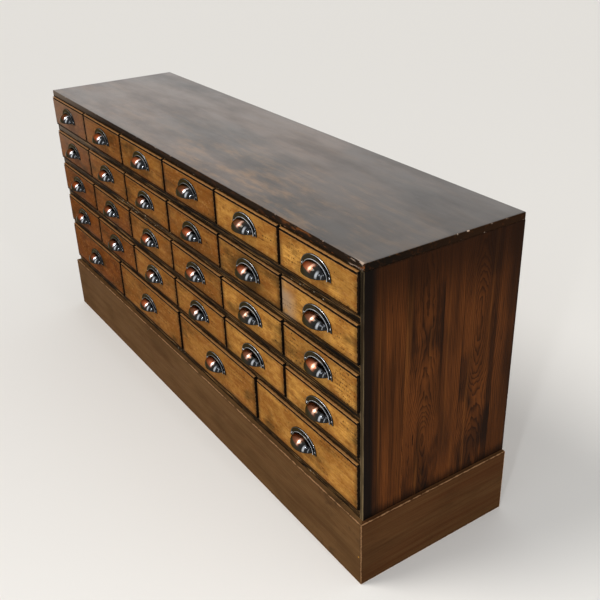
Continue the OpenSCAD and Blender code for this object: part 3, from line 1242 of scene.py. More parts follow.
    def build(self) -> Material:
        """Lay out the nodes.

        Returns:
            The material.
        """
        bench = Bench(self.name)
        seed, tone, _ = bench.fact("lot").split()
        turn = bench.fact("marks").split()[1]
        bench.place = bench.fact("spot") + seed * self.SEED_SHIFT
        wobble = bench.noise(60.0, 60.0, 3.0, 0.6) - 0.5
        # follows the fronts' tone: real wear, and also the painted highlights and reflections as they
        # change from the left pulls to the right ones
        use_and_view_shift = tone.rise(0.0, 0.85)
        crown = self.crown(bench, wobble, use_and_view_shift)
        # olive tarnished metal, also a painted dark reflection on the hood's lower front
        tarnish_and_reflection = (turn + wobble * self.TARNISH_DRIFT).rise(0.25, 0.5, 0.9, 0.1)
        # painted reflection: the copper darkens to umber away from the painted highlight
        copper = bench.mix(turn.rise(0.46, 0.7), self.copper, self.umber)
        bench.colour = bench.mix(tarnish_and_reflection, self.dark, self.olive)
        bench.lay(crown, bench.mix(use_and_view_shift, self.umber, copper))
        # painted highlight: a pale streak up the crown where the sun's reflection falls
        bench.lay(self.spot(bench, wobble, use_and_view_shift), bench.mix(use_and_view_shift, self.bright_highlight, self.painted_highlight))
        # painted highlights: two bright streaks down the right flank
        bench.lay(self.streaks(bench, wobble) * self.HIGHLIGHT_STREAK_COVER, self.bright_highlight)
        # polished ring and rim, brightened as a painted highlight
        bench.lay(self.edges(bench, wobble), bench.mix(use_and_view_shift, self.dim_highlight, self.bright_highlight))
        rough = crown.rise(0.0, 1.0, self.dull, self.gloss) + wobble * self.CLOUD_ROUGHNESS
        inputs = {"Roughness": rough, "Metallic": 1.0, "Specular Tint": self.rim}
        return bench.finish(bench.noise(500.0, 500.0, 2.0, 0.6), self.relief, inputs)


@dataclass(frozen=True)
class IronFinish:
    """Dark iron of screws and nails.

    Attributes:
        name: The material's name.
        colour: The metal's colour.
        roughness: How dull it is.
        rust: What spots it.
        relief: Height of the spots.
    """

    name: str
    colour: Colour
    roughness: float
    rust: Colour = srgb(70, 40, 24)
    relief: float = 0.0001

    SPOT_ROUGHNESS = 0.3
    METAL = 0.85

    def build(self) -> Material:
        """Lay out the nodes.

        Returns:
            The material.
        """
        bench = Bench(self.name)
        bench.place = bench.chest_place()
        spots = bench.noise(900.0, 900.0, 3.0, 0.6)
        bench.colour = bench.mix(spots.rise(0.5, 0.7, 0.7), self.colour, self.rust)
        rough = (spots - 0.5) * self.SPOT_ROUGHNESS + self.roughness
        return bench.finish(spots, self.relief, {"Roughness": rough, "Metallic": self.METAL})


class Finish(Enum):
    """Every finish of the chest."""

    FRONT = FrontFinish(
        "front_pine", pale=srgb(204, 148, 70), deep=srgb(94, 46, 14), line=srgb(112, 66, 22),
        line_cover=0.35, stain=srgb(78, 44, 18), stain_cover=0.6, grime=srgb(42, 27, 12),
        grime_reach=0.018, grime_cover=0.65, bare=srgb(206, 156, 100), rub_reach=0.001,
        rub_cover=0.3, ring_gap=0.004, gloss=0.4, dull=0.6, shine=0.008, relief=0.00025,
        painted_sheen_cover=0.27,
    )
    BOX = WoodFinish(
        "box_pine", pale=srgb(204, 168, 116), deep=srgb(156, 116, 70), line=srgb(150, 100, 54),
        line_cover=0.45, stain=srgb(110, 80, 48), stain_cover=0.35, grime=srgb(60, 44, 30),
        grime_cover=0.5, rub_cover=0.1, gloss=0.6, dull=0.8,
    )
    TOP = TopFinish(
        "top_board", pale=srgb(132, 111, 95), deep=srgb(84, 70, 60), line=srgb(46, 36, 31),
        line_cover=0.45, stain=srgb(48, 40, 36), stain_cover=0.5, grime=srgb(34, 26, 20),
        grime_reach=0.01, bare=srgb(150, 104, 62), rub_reach=0.001, rub_cover=0.3, ring_gap=0.006,
        ring_rise=3.0, gloss=0.3, dull=0.42, shine=0.9, relief=0.00015, painted_sheen_cover=0.3,
    )
    SIDE = SideFinish(
        "side_pine", pale=srgb(124, 69, 30), deep=srgb(53, 29, 14), line=srgb(20, 11, 6),
        line_cover=0.78, stain=srgb(30, 19, 11), stain_cover=0.5, grime=srgb(18, 14, 11),
        grime_reach=0.005, bare=srgb(142, 122, 90), rub_reach=0.0008, rub_cover=0.1,
        ring_gap=0.0042, ring_rise=5.0, heart=0.03, bow=0.11, jag=1.3, gloss=0.26, dull=0.42,
        shine=0.017,
    )
    RAIL = RailFinish(
        "rail_wood", pale=srgb(104, 76, 44), deep=srgb(26, 18, 11), line=srgb(14, 11, 8),
        line_cover=0.85, stain=srgb(20, 16, 11), stain_cover=0.6, grime=srgb(14, 11, 9),
        grime_reach=0.005, grime_cover=0.8, bare=srgb(140, 104, 66), rub_reach=0.0012,
        rub_cover=0.45, ring_gap=0.003, gloss=0.4, dull=0.65, shine=0.02, painted_sheen_cover=0.34,
    )
    PLINTH = PlinthFinish(
        "plinth_wood", pale=srgb(119, 91, 57), deep=srgb(77, 46, 25), line=srgb(48, 30, 16),
        line_cover=0.2, stain=srgb(54, 36, 21), stain_cover=0.4, grime=srgb(50, 34, 20),
        grime_reach=0.01, grime_cover=0.4, bare=srgb(142, 106, 74), rub_reach=0.0011, rub_cover=1.0,
        ring_gap=0.006, gloss=0.34, dull=0.5, shine=0.004, relief=0.0002,
    )
    PLANK = WoodFinish(
        "back_planks", pale=srgb(150, 112, 74), deep=srgb(96, 66, 42), line=srgb(86, 56, 34),
        line_cover=0.6, stain_cover=0.5, grime_cover=0.7, rub_cover=0.1, gloss=0.6, dull=0.85,
    )
    PULL = PullFinish("pull_copper")
    SCREW = IronFinish("screw_metal", colour=srgb(150, 150, 152), roughness=0.25)
    NAIL = IronFinish("nail_iron", colour=srgb(52, 46, 42), roughness=0.6)

    @cached_property
    def material(self) -> Material:
        """The finish's material, laid out when it is first asked for."""
        return self.value.build()


class GeometryTree:
    """A geometry node tree with named inputs, which is run once and leaves a plain mesh."""

    def __init__(self, name: str, **inputs: str) -> None:
        """Start a tree that has its group input and output.

        Args:
            name: The tree's name.
            inputs: For each named input, the rest of its socket type's name, such as Float.
        """
        self.tree = bpy.data.node_groups.new(name, "GeometryNodeTree")
        interface = self.tree.interface
        interface.new_socket("Geometry", in_out="OUTPUT", socket_type="NodeSocketGeometry")
        self.keys = {
            key: interface.new_socket(key, in_out="INPUT", socket_type=f"NodeSocket{kind}").identifier
            for key, kind in inputs.items()
        }
        self.given = self.node("NodeGroupInput", {}).outputs
        self.exit = self.node("NodeGroupOutput", {})

    def node(
        self, kind: str, inputs: dict[Union[int, str], object], **settings: object
    ) -> bpy.types.Node:
        """Add a node, with what goes into its inputs and its properties."""
        return add_node(self.tree, kind, inputs, **settings)

    def chance(self, low: Sequence[float], high: Sequence[float]) -> Socket:
        """A vector between two others for each copy, drawn from the tree's seed."""
        inputs = {0: low, 1: high, "Seed": self.given["Seed"]}
        return self.node("FunctionNodeRandomValue", inputs, data_type="FLOAT_VECTOR").outputs[0]

    def copies(self, points: Socket, pattern: Socket, **inputs: Socket) -> Socket:
        """Copies of an object on points.

        Args:
            points: The points.
            pattern: The object.
            inputs: What else goes into the copying node, by the input's name.

        Returns:
            The copies, as instances.
        """
        shape = self.node("GeometryNodeObjectInfo", {"Object": pattern}).outputs["Geometry"]
        given = {"Points": points, "Instance": shape, **inputs}
        return self.node("GeometryNodeInstanceOnPoints", given).outputs["Instances"]

    def close(self, instances: Socket, material: Socket) -> None:
        """End the tree: instances made real, with their material set.

        Args:
            instances: The instances.
            material: Their material.
        """
        real = self.node("GeometryNodeRealizeInstances", {0: instances}).outputs[0]
        paint = self.node("GeometryNodeSetMaterial", {"Geometry": real, "Material": material})
        feed(self.tree, self.exit, {0: paint.outputs[0]})

    def run(self, name: str, **values: object) -> Piece:
        """Run the tree and keep its result as a plain mesh.

        Args:
            name: The new object's name.
            values: The tree's inputs by name.

        Returns:
            The object that holds the mesh.
        """
        piece = show(name, bpy.data.meshes.new(name))
        modifier = piece.modifiers.new("repeat", "NODES")
        modifier.node_group = self.tree
        for key, value in values.items():
            modifier[self.keys[key]] = value
        graph = bpy.context.evaluated_depsgraph_get()
        mesh = bpy.data.meshes.new_from_object(
            piece.evaluated_get(graph), preserve_all_data_layers=True, depsgraph=graph
        )
        piece.modifiers.clear()
        piece.data = mesh
        mesh.name = name
        return piece


def scratch(piece: Piece) -> Piece:
    """Hide an object that only serves as a pattern for copies.

    Args:
        piece: The object.

    Returns:
        The same object.
    """
    piece.hide_render = True
    piece.hide_viewport = True
    return piece


@dataclass(frozen=True)
class FastenerHead:
    """Pattern of a domed head that faces -Y, its underside at the origin.

    Attributes:
        name: The pattern's name.
        radius: Radius of the head.
        height: Height of the dome.
        slot_half: Half the width of a slot across it; 0 for a plain head.
        slot_depth: Depth of the slot, as a share of the dome's height.
        sectors: Facets round it.
        rows: Rings up the dome.
        crowding: How much the rings crowd towards the edge; 1 is even.
    """

    name: str
    radius: float
    height: float
    slot_half: float = 0.0
    slot_depth: float = 0.5
    sectors: int = 16
    rows: int = 4
    crowding: float = 0.8

    def ring(self, row: int) -> list[Vector]:
        """Points of one ring, counted from the edge; the slot is sunk into all but the first.

        Args:
            row: Number of the ring; 0 is the edge.

        Returns:
            Its points.
        """
        ball = (self.radius**2 + self.height**2) / (2 * self.height)
        r = self.radius * (1 - row / self.rows) ** self.crowding
        y = -(math.sqrt(ball**2 - r**2) - (ball - self.height))
        points = []
        for turn in arc(0, 360, self.sectors)[:-1]:
            x, z = r * math.cos(turn), r * math.sin(turn)
            sunk = self.slot_depth * self.height if row and abs(z) < self.slot_half else 0.0
            points.append(Vector((x, y + sunk, z)))
        return points

    def build(self) -> Piece:
        """Make the head.

        Returns:
            The hidden pattern.
        """
        shape = bmesh.new()
        rings = [[shape.verts.new(point) for point in self.ring(row)] for row in range(self.rows)]
        depth = self.slot_depth if self.slot_half else 0.0
        crown = shape.verts.new((0.0, -self.height * (1 - depth), 0.0))
        for i in range(self.sectors):
            j = (i + 1) % self.sectors
            for lower, upper in zip(rings, rings[1:]):
                shape.faces.new((lower[i], lower[j], upper[j], upper[i]))
            shape.faces.new((rings[-1][i], rings[-1][j], crown))
        shape.faces.new(rings[0])
        bmesh.ops.recalc_face_normals(shape, faces=shape.faces)
        mesh = bpy.data.meshes.new(self.name)
        shape.to_mesh(mesh)
        shape.free()
        return scratch(show(self.name, mesh))


def fastener_tree() -> GeometryTree:
    """Grid of fasteners on an upright plane, each turned its own way.

    Returns:
        The tree, with inputs for the grid's middle, size and counts, the head and the metal.
    """
    tree = GeometryTree(
        "fastener_grid",
        Middle="Vector",
        Across="Float",
        Up="Float",
        Columns="Int",
        Rows="Int",
        Seed="Int",
        Head="Object",
        Metal="Material",
    )
    given = tree.given
    ends = {"Size X": "Across", "Size Y": "Up", "Vertices X": "Columns", "Vertices Y": "Rows"}
    grid = tree.node("GeometryNodeMeshGrid", {end: given[name] for end, name in ends.items()})
    inputs = {
        "Geometry": grid.outputs["Mesh"],
        "Rotation": (math.pi / 2, 0.0, 0.0),
        "Translation": given["Middle"],
    }
    upright = tree.node("GeometryNodeTransform", inputs).outputs["Geometry"]
    turns = tree.chance((0.0, -math.pi, 0.0), (0.0, math.pi, 0.0))
    tree.close(tree.copies(upright, given["Head"], Rotation=turns), given["Metal"])
    return tree


def plank_tree() -> GeometryTree:
    """Row of upright planks, each with its own lot.

    Returns:
        The tree, with inputs for the row's start, pitch and count, the plank and the finish.
    """
    tree = GeometryTree(
        "plank_row",
        Start="Vector",
        Pitch="Vector",
        Count="Int",
        Seed="Int",
        Plank="Object",
        Wood="Material",
    )
    given = tree.given
    ends = {"Count": "Count", "Start Location": "Start", "Offset": "Pitch"}
    line = tree.node("GeometryNodeMeshLine", {end: given[name] for end, name in ends.items()})
    inputs = {
        "Geometry": tree.copies(line.outputs["Mesh"], given["Plank"]),
        "Name": "lot",
        "Value": tree.chance((0.0, 0.2, 0.2), (9.0, 0.8, 0.9)),
    }
    kind = "GeometryNodeStoreNamedAttribute"
    store = tree.node(kind, inputs, data_type="FLOAT_VECTOR", domain="INSTANCE")
    tree.close(store.outputs["Geometry"], given["Wood"])
    return tree


@dataclass
class CupPull:
    """A cup pull: a half-oval back plate with a rim, a ring and a hood.

    Attributes:
        node: The construction node that it stands for.
        body: The body that it rides on.
        lot: Its own look.
        shift: How far its drawer sits off its true place.
        ear: Straight part of the outline above each ear tip.
        plate: Thickness of the plate.
        depth: How far the hood stands out.
        hood_half: Half the hood's width.
        hood_rise: Height of the hood above its lip.
        hood_up: Height of the hood's lip above the ear tips.
        hood_end: How near the hood comes to its own ends, in degrees round it.
        hood_steps: Facets from the hood's top to its lip.
        fullness: How square the hood is in section; 2 is round.
        flare: How much further the hood's top goes up at the plate.
        flare_start: Where the flare starts, in radians up the section.
        flare_span: How far it takes to come up.
        lip: Thickness of the lip.
        lip_share: The most that it may be of the hood's depth.
        metal: Thickness of the metal.
        sectors: Facets round the half oval.
        screw_in: Distance of the screws from the plate's ends.
        screw_up: Height of the screws above the ear tips.
        screw_sunk: How far their heads are sunk into the plate.
    """

    node: str
    body: str
    lot: Lot
    shift: Vector
    ear: float = 0.006
    plate: float = 0.0022
    depth: float = 0.03
    hood_half: float = 0.043
    hood_rise: float = 0.027
    hood_up: float = 0.003
    hood_end: float = 4.0
    hood_steps: int = 18
    fullness: float = 2.45
    flare: float = 0.045
    flare_start: float = 1.3
    flare_span: float = 0.27
    lip: float = 0.0011
    lip_share: float = 0.3
    metal: float = 0.002
    sectors: int = 56
    screw_in: float = 0.005
    screw_up: float = 0.009
    screw_sunk: float = 0.0004

    # Beads on the plate: place and half width as shares, height, and facets. Then its hollow.
    BEADS = ((0.255, 0.13, 0.0024, 9), (0.925, 0.06, 0.0007, 6))
    HOLLOW = ((0.42, 0.0003), (0.6, 0.0005), (0.82, 0.0003))
    EAR_FOOT = 0.7

    # The lip in section, in lips outwards and up, and the least of the depth left inside it.
    LIP_SECTION = ((-0.12, 0.9), (0.0, 0.45), (-0.35, 0.0), (-1.3, 0.0))
    LIP_INSIDE = 0.3
    LEAST_INSIDE = 0.25

    def __post_init__(self) -> None:
        """Read the pull's place and size from the frame."""
        low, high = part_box(self.node)
        self.foot = Vector(((low.x + high.x) / 2, low.y + self.depth, low.z)) + self.shift
        self.half, self.height = (high.x - low.x) / 2, high.z - low.z
        x, y, z = self.foot
        reaches = ((x - self.half, x + self.half), (y - self.depth, y), (z, z + self.height))
        self.blank = Blank(*reaches, Cut.RAIL, self.lot)

    def plate_section(self) -> list[Point]:
        """Section of the plate from its inner to its outer edge.

        Returns:
            Points, as shares of the width and heights.
        """
        top = self.plate
        ring, rim = (
            [(at + wide * math.cos(turn), top + high * math.sin(turn)) for turn in arc(180, 0, steps)]
            for at, wide, high, steps in self.BEADS
        )
        hollow = [(at, top - down) for at, down in self.HOLLOW]
        return [(0.0, 0.0), (0.0, top), *ring, *hollow, *rim, (1.0, 0.0)]

    def build_plate(self, stock: Stock) -> None:
        """Add the back plate: its section, swept between two half ovals on straight ears.

        Args:
            stock: Where it goes.
        """
        inner, rise = self.hood_half - self.metal, self.hood_rise - self.metal
        ears = [
            (inner, self.hood_up * share, self.half, self.ear * share) for share in (0.0, self.EAR_FOOT)
        ]
        crown = [
            (
                inner * math.cos(turn),
                self.hood_up + rise * math.sin(turn),
                self.half * math.cos(turn),
                self.ear + (self.height - self.ear) * math.sin(turn),
            )
            for turn in arc(0, 180, self.sectors)
        ]
        spokes = [*ears, *crown, *((-a, b, -c, d) for a, b, c, d in reversed(ears))]
        section, foot = self.plate_section(), self.foot
        rings = [
            np.array(
                [
                    (foot.x + ax + (bx - ax) * share, foot.y - out, foot.z + az + (bz - az) * share)
                    for share, out in section
                ]
            )
            for ax, az, bx, bz in spokes
        ]
        last = len(spokes) - 1
        course = [(share, k / last, 0.0) for k in range(len(spokes)) for share, _ in section]
        stock.loft(rings, self.blank, course=np.array(course))

    def hood_ring(self, x: float) -> np.ndarray:
        """Closed section of the hood's shell.

        Args:
            x: The section's place, to the right of the middle.

        Returns:
            Its points: down the outside, round the lip and up the inside.
        """
        halves = (self.hood_half, self.hood_half - self.metal)
        outer, inner = (math.sqrt(max(1 - (x / half) ** 2, 0.0)) for half in halves)
        power = 2 / self.fullness
        points = []
        for turn in arc(90, 0, self.hood_steps):
            bulge = max(0.0, (turn - self.flare_start) / self.flare_span) ** 2
            up = outer * self.hood_rise * math.sin(turn) ** power * (1 + self.flare * bulge)
            out = outer * self.depth * math.cos(turn) ** power
            points.append((out, min(up, self.height - self.hood_up)))
        lip = min(self.lip, self.lip_share * outer * self.depth)
        edge = points[-1][0]
        points[-1:] = [(edge + out * lip, up * lip) for out, up in self.LIP_SECTION]
        inside = max(inner * (self.depth - self.metal), outer * self.depth * self.LEAST_INSIDE)
        for turn in arc(0, 90, self.hood_steps):
            up = inside * self.hood_rise / self.depth * math.sin(turn) ** power
            points.append((inside * math.cos(turn) ** power, max(up, self.LIP_INSIDE * lip)))
        base = self.foot + Vector((x, 0.0, self.hood_up))
        return np.array([(base.x, base.y - out, base.z + up) for out, up in points])

    def build_hood(self, stock: Stock) -> None:
        """Add the hood.

        Args:
            stock: Where it goes.
        """
        turns = arc(self.hood_end, 180 - self.hood_end, self.sectors)
        rings = [self.hood_ring(self.hood_half * math.cos(turn)) for turn in turns]
        steps = self.hood_steps
        climb = [1 - k / steps for k in range(steps + 1)] + [0.0] * (len(self.LIP_SECTION) - 1)
        climb += [-1.0] * (steps + 1)
        course = [(up, turn / math.pi, 1.0) for turn in turns for up in climb]
        stock.loft(rings, self.blank, course=np.array(course))

    def build(self) -> None:
        """Make the pull and tie it to its drawer."""
        stock = Stock()
        self.build_plate(stock)
        self.build_hood(stock)
        piece = stock.make(self.node + "_metal", [Finish.PULL.material], crease=40.0)
        dress(piece, self.body, "pull_copper", self.node)

    def build_screws(self, tree: GeometryTree, head: Piece, seed: int) -> None:
        """Make the two screws that hold the pull.

        Args:
            tree: The tree that repeats fasteners.
            head: Pattern of a screw head.
            seed: Which way their slots point.
        """
        out = self.plate - self.screw_sunk
        piece = tree.run(
            self.node + "_screws",
            Middle=(self.foot.x, self.foot.y - out, self.foot.z + self.screw_up),
            Across=2 * (self.half - self.screw_in),
            Up=0.0,
            Columns=2,
            Rows=1,
            Seed=seed,
            Head=head,
            Metal=Finish.SCREW.material,
        )
        dress(piece, self.body, "pull_copper")


@dataclass
class Drawer:
    """A drawer: its moulded front, two sides, back and bottom.

    Attributes:
        node: The construction node that it stands for.
        body: The body that it rides on.
        lot: The look of its front.
        shift: How far it sits off its true place.
        front_t: Thickness of the front.
        front_lift: Height of the front's lower edge above the sides' lower edge.
        front_ease: How far the front's ends are eased.
        board_t: Thickness of the sides and back.
        floor_t: Thickness of the bottom.
        floor_up: Height of the bottom's underside above the sides' lower edge.
        side_in: Distance of the sides from the front's ends.
        side_drop: How far the sides stop below the front's top edge.
        groove: Depth of the grooves for the bottom.
        bead: Diameter of the bead along the top and bottom edges.
        quirk: Width of the quirk beside it.
        quirk_d: Depth of the quirk.
        soft: How far its arrises are eased.
        dent: Depth of the dents in the front's face.
        gap: Gap between boards.
    """

    node: str
    body: str
    lot: Lot
    shift: Vector
    front_t: float = 0.02
    front_lift: float = 0.0002
    front_ease: float = 0.0009
    board_t: float = 0.008
    floor_t: float = 0.006
    floor_up: float = 0.005
    side_in: float = 0.0003
    side_drop: float = 0.0015
    groove: float = 0.0038
    bead: float = 0.0038
    quirk: float = 0.002
    quirk_d: float = 0.0025
    soft: float = 0.0004
    dent: float = 0.0005
    gap: float = JOINT_GAP

    # Points down the face, rings along it, and the dents' waves along it and depth into it.
    FACE_POINTS = (0.02, 0.035)
    FACE_RINGS = 40
    DENT_RATES = (71.0, 23.0)
    DENT_PHASES = (5.0, 8.5)
    DENT_REACH = 0.004

    def __post_init__(self) -> None:
        """Read the drawer's box from the frame."""
        low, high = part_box(self.node)
        self.low, self.high = low + self.shift, high + self.shift

    def outline(self, height: float) -> list[Point]:
        """Outline of the front seen from its end, as depth and height.

        Args:
            height: Height of the front.

        Returns:
            Points from the bottom edge up the face and down the back.
        """
        r, foot, t, soft = self.bead / 2, self.bead + self.quirk, self.front_t, self.soft
        lower = [(r + r * math.cos(turn), r + r * math.sin(turn)) for turn in arc(270, 90, 8)]
        lower += [(self.quirk_d, self.bead + 0.0001), (self.quirk_d, foot), (soft, foot)]
        lower += [(0.0, up) for up in (foot + soft, *self.FACE_POINTS)]
        upper = [(depth, height - up) for depth, up in reversed(lower)]
        return lower + upper + [(t - soft, height), (t, height - soft), (t, soft), (t - soft, 0.0)]

    def face_dent(self, at: float) -> float:
        """Depth of the face's dents at a distance from the front's left end.

        Args:
            at: The distance.

        Returns:
            The depth.
        """
        waves = zip(self.DENT_RATES, self.DENT_PHASES)
        wave = math.prod(math.sin(at * rate + self.lot.seed * phase) for rate, phase in waves)
        return (0.5 + 0.5 * wave) ** 4 * self.dent * self.lot.wear

    def build_front(self) -> None:
        """Make the front, moulded along its top and bottom edges and worn by hand."""
        y, z = self.low.y, self.low.z + self.front_lift
        length, ease = self.high.x - self.low.x, self.front_ease
        size = np.array([self.front_t, self.high.z - z])
        from_middle = np.array(self.outline(size[1])) - size / 2
        step = (length - 2 * ease) / self.FACE_RINGS
        face = [(ease + step * k, 0.0) for k in range(self.FACE_RINGS + 1)]
        ends = [(0.0, ease), (ease * 0.3, ease * 0.3)]
        rings = []
        for at, inset in ends + face + [(length - at, inset) for at, inset in reversed(ends)]:
            depth, up = (size / 2 + from_middle * (1 - 2 * inset / size)).T
            depth = depth + np.clip(1 - depth / self.DENT_REACH, 0, 1) * self.face_dent(at)
            rings.append(np.column_stack((np.full(len(up), self.low.x + at), y + depth, z + up)))
        reaches = ((self.low.x, self.high.x), (y, y + self.front_t), (z, self.high.z))
        stock = Stock()
        stock.loft(rings, Blank(*reaches, Cut.RAIL, self.lot))
        piece = stock.make(self.node + "_front", [Finish.FRONT.material], crease=50.0)
        dress(piece, self.body, "drawer_pine", self.node)

    def build_box(self) -> None:
        """Make the open box behind the front: two sides, the bottom and the back."""
        gap, t, reach, seed = self.gap, self.board_t, self.board_t - self.groove, self.lot.seed
        x0, x1 = self.low.x + self.side_in, self.high.x - self.side_in
        y0, y1 = self.low.y + self.front_t + gap, self.high.y
        z0, z1 = self.low.z, self.high.z - self.side_drop
        floor = (z0 + self.floor_up, z0 + self.floor_up + self.floor_t)
        stock = Stock()
        for k, x in enumerate((x0, x1 - t)):
            lot = Lot(seed + 1 + k, 0.6, 0.4)
            stock.board(Blank((x, x + t), (y0, y1), (z0, z1), Cut.RUNNER, lot))
        width, depth, lot = (x0 + reach, x1 - reach), (y0 - self.groove, y1), Lot(seed + 3, 0.55, 0.5)
        stock.board(Blank(width, depth, floor, Cut.SHELF, lot))
        width, up, lot = (x0 + t + gap, x1 - t - gap), (floor[1] + gap, z1), Lot(seed + 4, 0.5, 0.6)
        stock.board(Blank(width, (y1 - t, y1), up, Cut.RAIL, lot))
        piece = stock.make(self.node + "_box", [Finish.BOX.material])
        dress(piece, self.body, "drawer_pine")


@dataclass
class TopBoard:
    """The top board, its edges rubbed and chipped.

    Attributes:
        node: The construction node that it stands for.
        ease: Radius of its edges.
        bite: Depth of the deepest dents in its front edge.
        bite_reach: How far back and down the dents go.
    """

    node: str = "top_board"
    ease: float = 0.002
    bite: float = 0.0012
    bite_reach: float = 0.004

    # Waves in a metre of the front edge, whose sum dents it, and the seed of their phases.
    DENT_RATES = (31, 57, 93, 141, 211, 307)
    DENT_SEED = 11

    def build(self) -> None:
        """Make the board."""
        low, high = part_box(self.node)
        phases = np.random.default_rng(self.DENT_SEED).uniform(0, 6.28, len(self.DENT_RATES))

        def worn(ring: np.ndarray) -> np.ndarray:
            """Draw a ring's upper front edge in a little, unevenly.

            Args:
                ring: The ring's points.

            Returns:
                The ring.
            """
            waves = [math.sin(ring[0, 0] * rate + phase) for rate, phase in zip(self.DENT_RATES, phases)]
            bite = self.bite * max(0.0, sum(waves) / len(waves)) ** 2
            upper = np.clip(1 - (high.z - ring[:, 2]) / self.bite_reach, 0, 1)
            front = np.clip(1 - (ring[:, 1] - low.y) / self.bite_reach, 0, 1)
            ring[:, 2] -= bite * upper * front
            ring[:, 1] += bite * upper * front
            return ring

        reaches = ((low.x, high.x), (low.y, high.y), (low.z, high.z))
        stock = Stock()
        blank = Blank(*reaches, Cut.SHELF, Lot(4.3, 0.35, 0.6))
        stock.board(blank, ease=self.ease, steps=3, stations=240, shape=worn)
        piece = stock.make("top_board_wood", [Finish.TOP.material])
        dress(piece, "case", "top_wood", self.node)


@dataclass
class CaseBoards:
    """Sides, bottom and back of the case.

    Attributes:
        node: The construction node that they stand for.
        side_t: Thickness of a side.
        staves: Widths of the boards glued into a side, front to back, as shares.
        stave_tones: How pale each of them is.
        stave_hearts: Where the middle of its tree lay.
        plain_sawn: Which of them show arches; the others are straight-grained.
        straight: How many times longer the straight-grained ones' figure is.
        back_t: Thickness of the back planks.
        planks: Number of back planks.
        plank_gap: Joint between two planks.
        nail_rows: Rows of nails in the back.
        nail_reach: Height of the rows together, as a share of the back's.
        nail_sunk: How far the nails' heads are sunk.
        bottom_t: Thickness of the bottom board.
        gap: Gap between boards.
    """

    node: str = "case_boards"
    side_t: float = 0.012
    staves: tuple[float, ...] = (0.25, 0.24, 0.13, 0.24, 0.14)
    stave_tones: tuple[float, ...] = (0.8, 0.6, 0.6, 0.55, 0.45)
    stave_hearts: tuple[float, ...] = (1.6, 0.1, 2.2, 0.0, -2.0)
    plain_sawn: tuple[int, ...] = (1, 3)
    straight: float = 2.2
    back_t: float = 0.008
    planks: int = 12
    plank_gap: float = 0.001
    nail_rows: int = 6
    nail_reach: float = 0.97
    nail_sunk: float = 0.0004
    bottom_t: float = 0.0253
    gap: float = JOINT_GAP

    # Seeds of the right side's staves: the first, the step from each to the next, and how
    # much later the left side's are.
    STAVE_SEED = 2.1
    STAVE_SEED_STEP = 1.37
    LEFT_SEED = 5.0

    def __post_init__(self) -> None:
        """Read the case's box from the frame."""
        self.low, self.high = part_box(self.node)
        self.inner = self.high.x - self.side_t - self.gap

    def build_side(self, right: bool) -> None:
        """Make a side from upright staves.

        Args:
            right: True for the right side.
        """
        low, high = self.low, self.high
        x = high.x - self.side_t if right else low.x
        panel = ((x, x + self.side_t), (low.y, high.y), (low.z, high.z))
        first_seed = self.STAVE_SEED + (0.0 if right else self.LEFT_SEED)
        stock, y = Stock(), low.y
        for k, (share, tone, heart) in enumerate(zip(self.staves, self.stave_tones, self.stave_hearts)):
            width = (high.y - low.y) * share / sum(self.staves)
            straight = 1.0 if k in self.plain_sawn else self.straight
            lot = Lot(first_seed + self.STAVE_SEED_STEP * k, tone, 0.6, heart=heart, straight=straight)
            stock.board(Blank(panel[0], (y, y + width), panel[2], Cut.POST, lot, panel), ease=0.0002)
            y += width
        name = "right" if right else "left"
        piece = stock.make(f"case_side_{name}", [Finish.SIDE.material])
        dress(piece, "case", "case_wood", self.node)

    def build_bottom(self) -> None:
        """Make the bottom board."""
        depth = (self.low.y, self.high.y - self.back_t - self.gap)
        up = (self.low.z, self.low.z + self.bottom_t)
        stock = Stock()
        stock.board(Blank((-self.inner, self.inner), depth, up, Cut.SHELF, Lot(6.2, 0.3, 0.6)))
        piece = stock.make("case_bottom", [Finish.RAIL.material])
        dress(piece, "case", "case_wood")

    def build_back(self, grid: GeometryTree, nail: Piece) -> None:
        """Make the back planks and the nails that hold them.

        Args:
            grid: The tree that repeats fasteners.
            nail: Pattern of a nail head.
        """
        low, high, wood = self.low, self.high, Finish.PLANK.material
        pitch = (2 * self.inner + self.plank_gap) / self.planks
        half = (pitch - self.plank_gap) / 2
        depth = (high.y - self.back_t, high.y)
        stock = Stock()
        blank = Blank((-half, half), depth, (low.z, high.z), Cut.PLANK, Lot(0.0))
        stock.board(blank, ease=0.001, steps=2)
        pattern = scratch(stock.make("plank_pattern", [wood]))
        planks = plank_tree().run(
            "case_back_planks",
            Start=(half - self.inner, 0.0, 0.0),
            Pitch=(pitch, 0.0, 0.0),
            Count=self.planks,
            Seed=3,
            Plank=pattern,
            Wood=wood,
        )
        dress(planks, "case", "case_wood")
        bpy.data.objects.remove(pattern)
        nails = grid.run(
            "case_back_nails",
            Middle=(0.0, high.y - self.nail_sunk, (low.z + high.z) / 2),
            Across=2 * self.inner - pitch / 2,
            Up=(high.z - low.z) * self.nail_reach,
            Columns=2 * self.planks,
            Rows=self.nail_rows,
            Seed=5,
            Head=nail,
            Metal=Finish.NAIL.material,
        )
        dress(nails, "case", "case_wood")


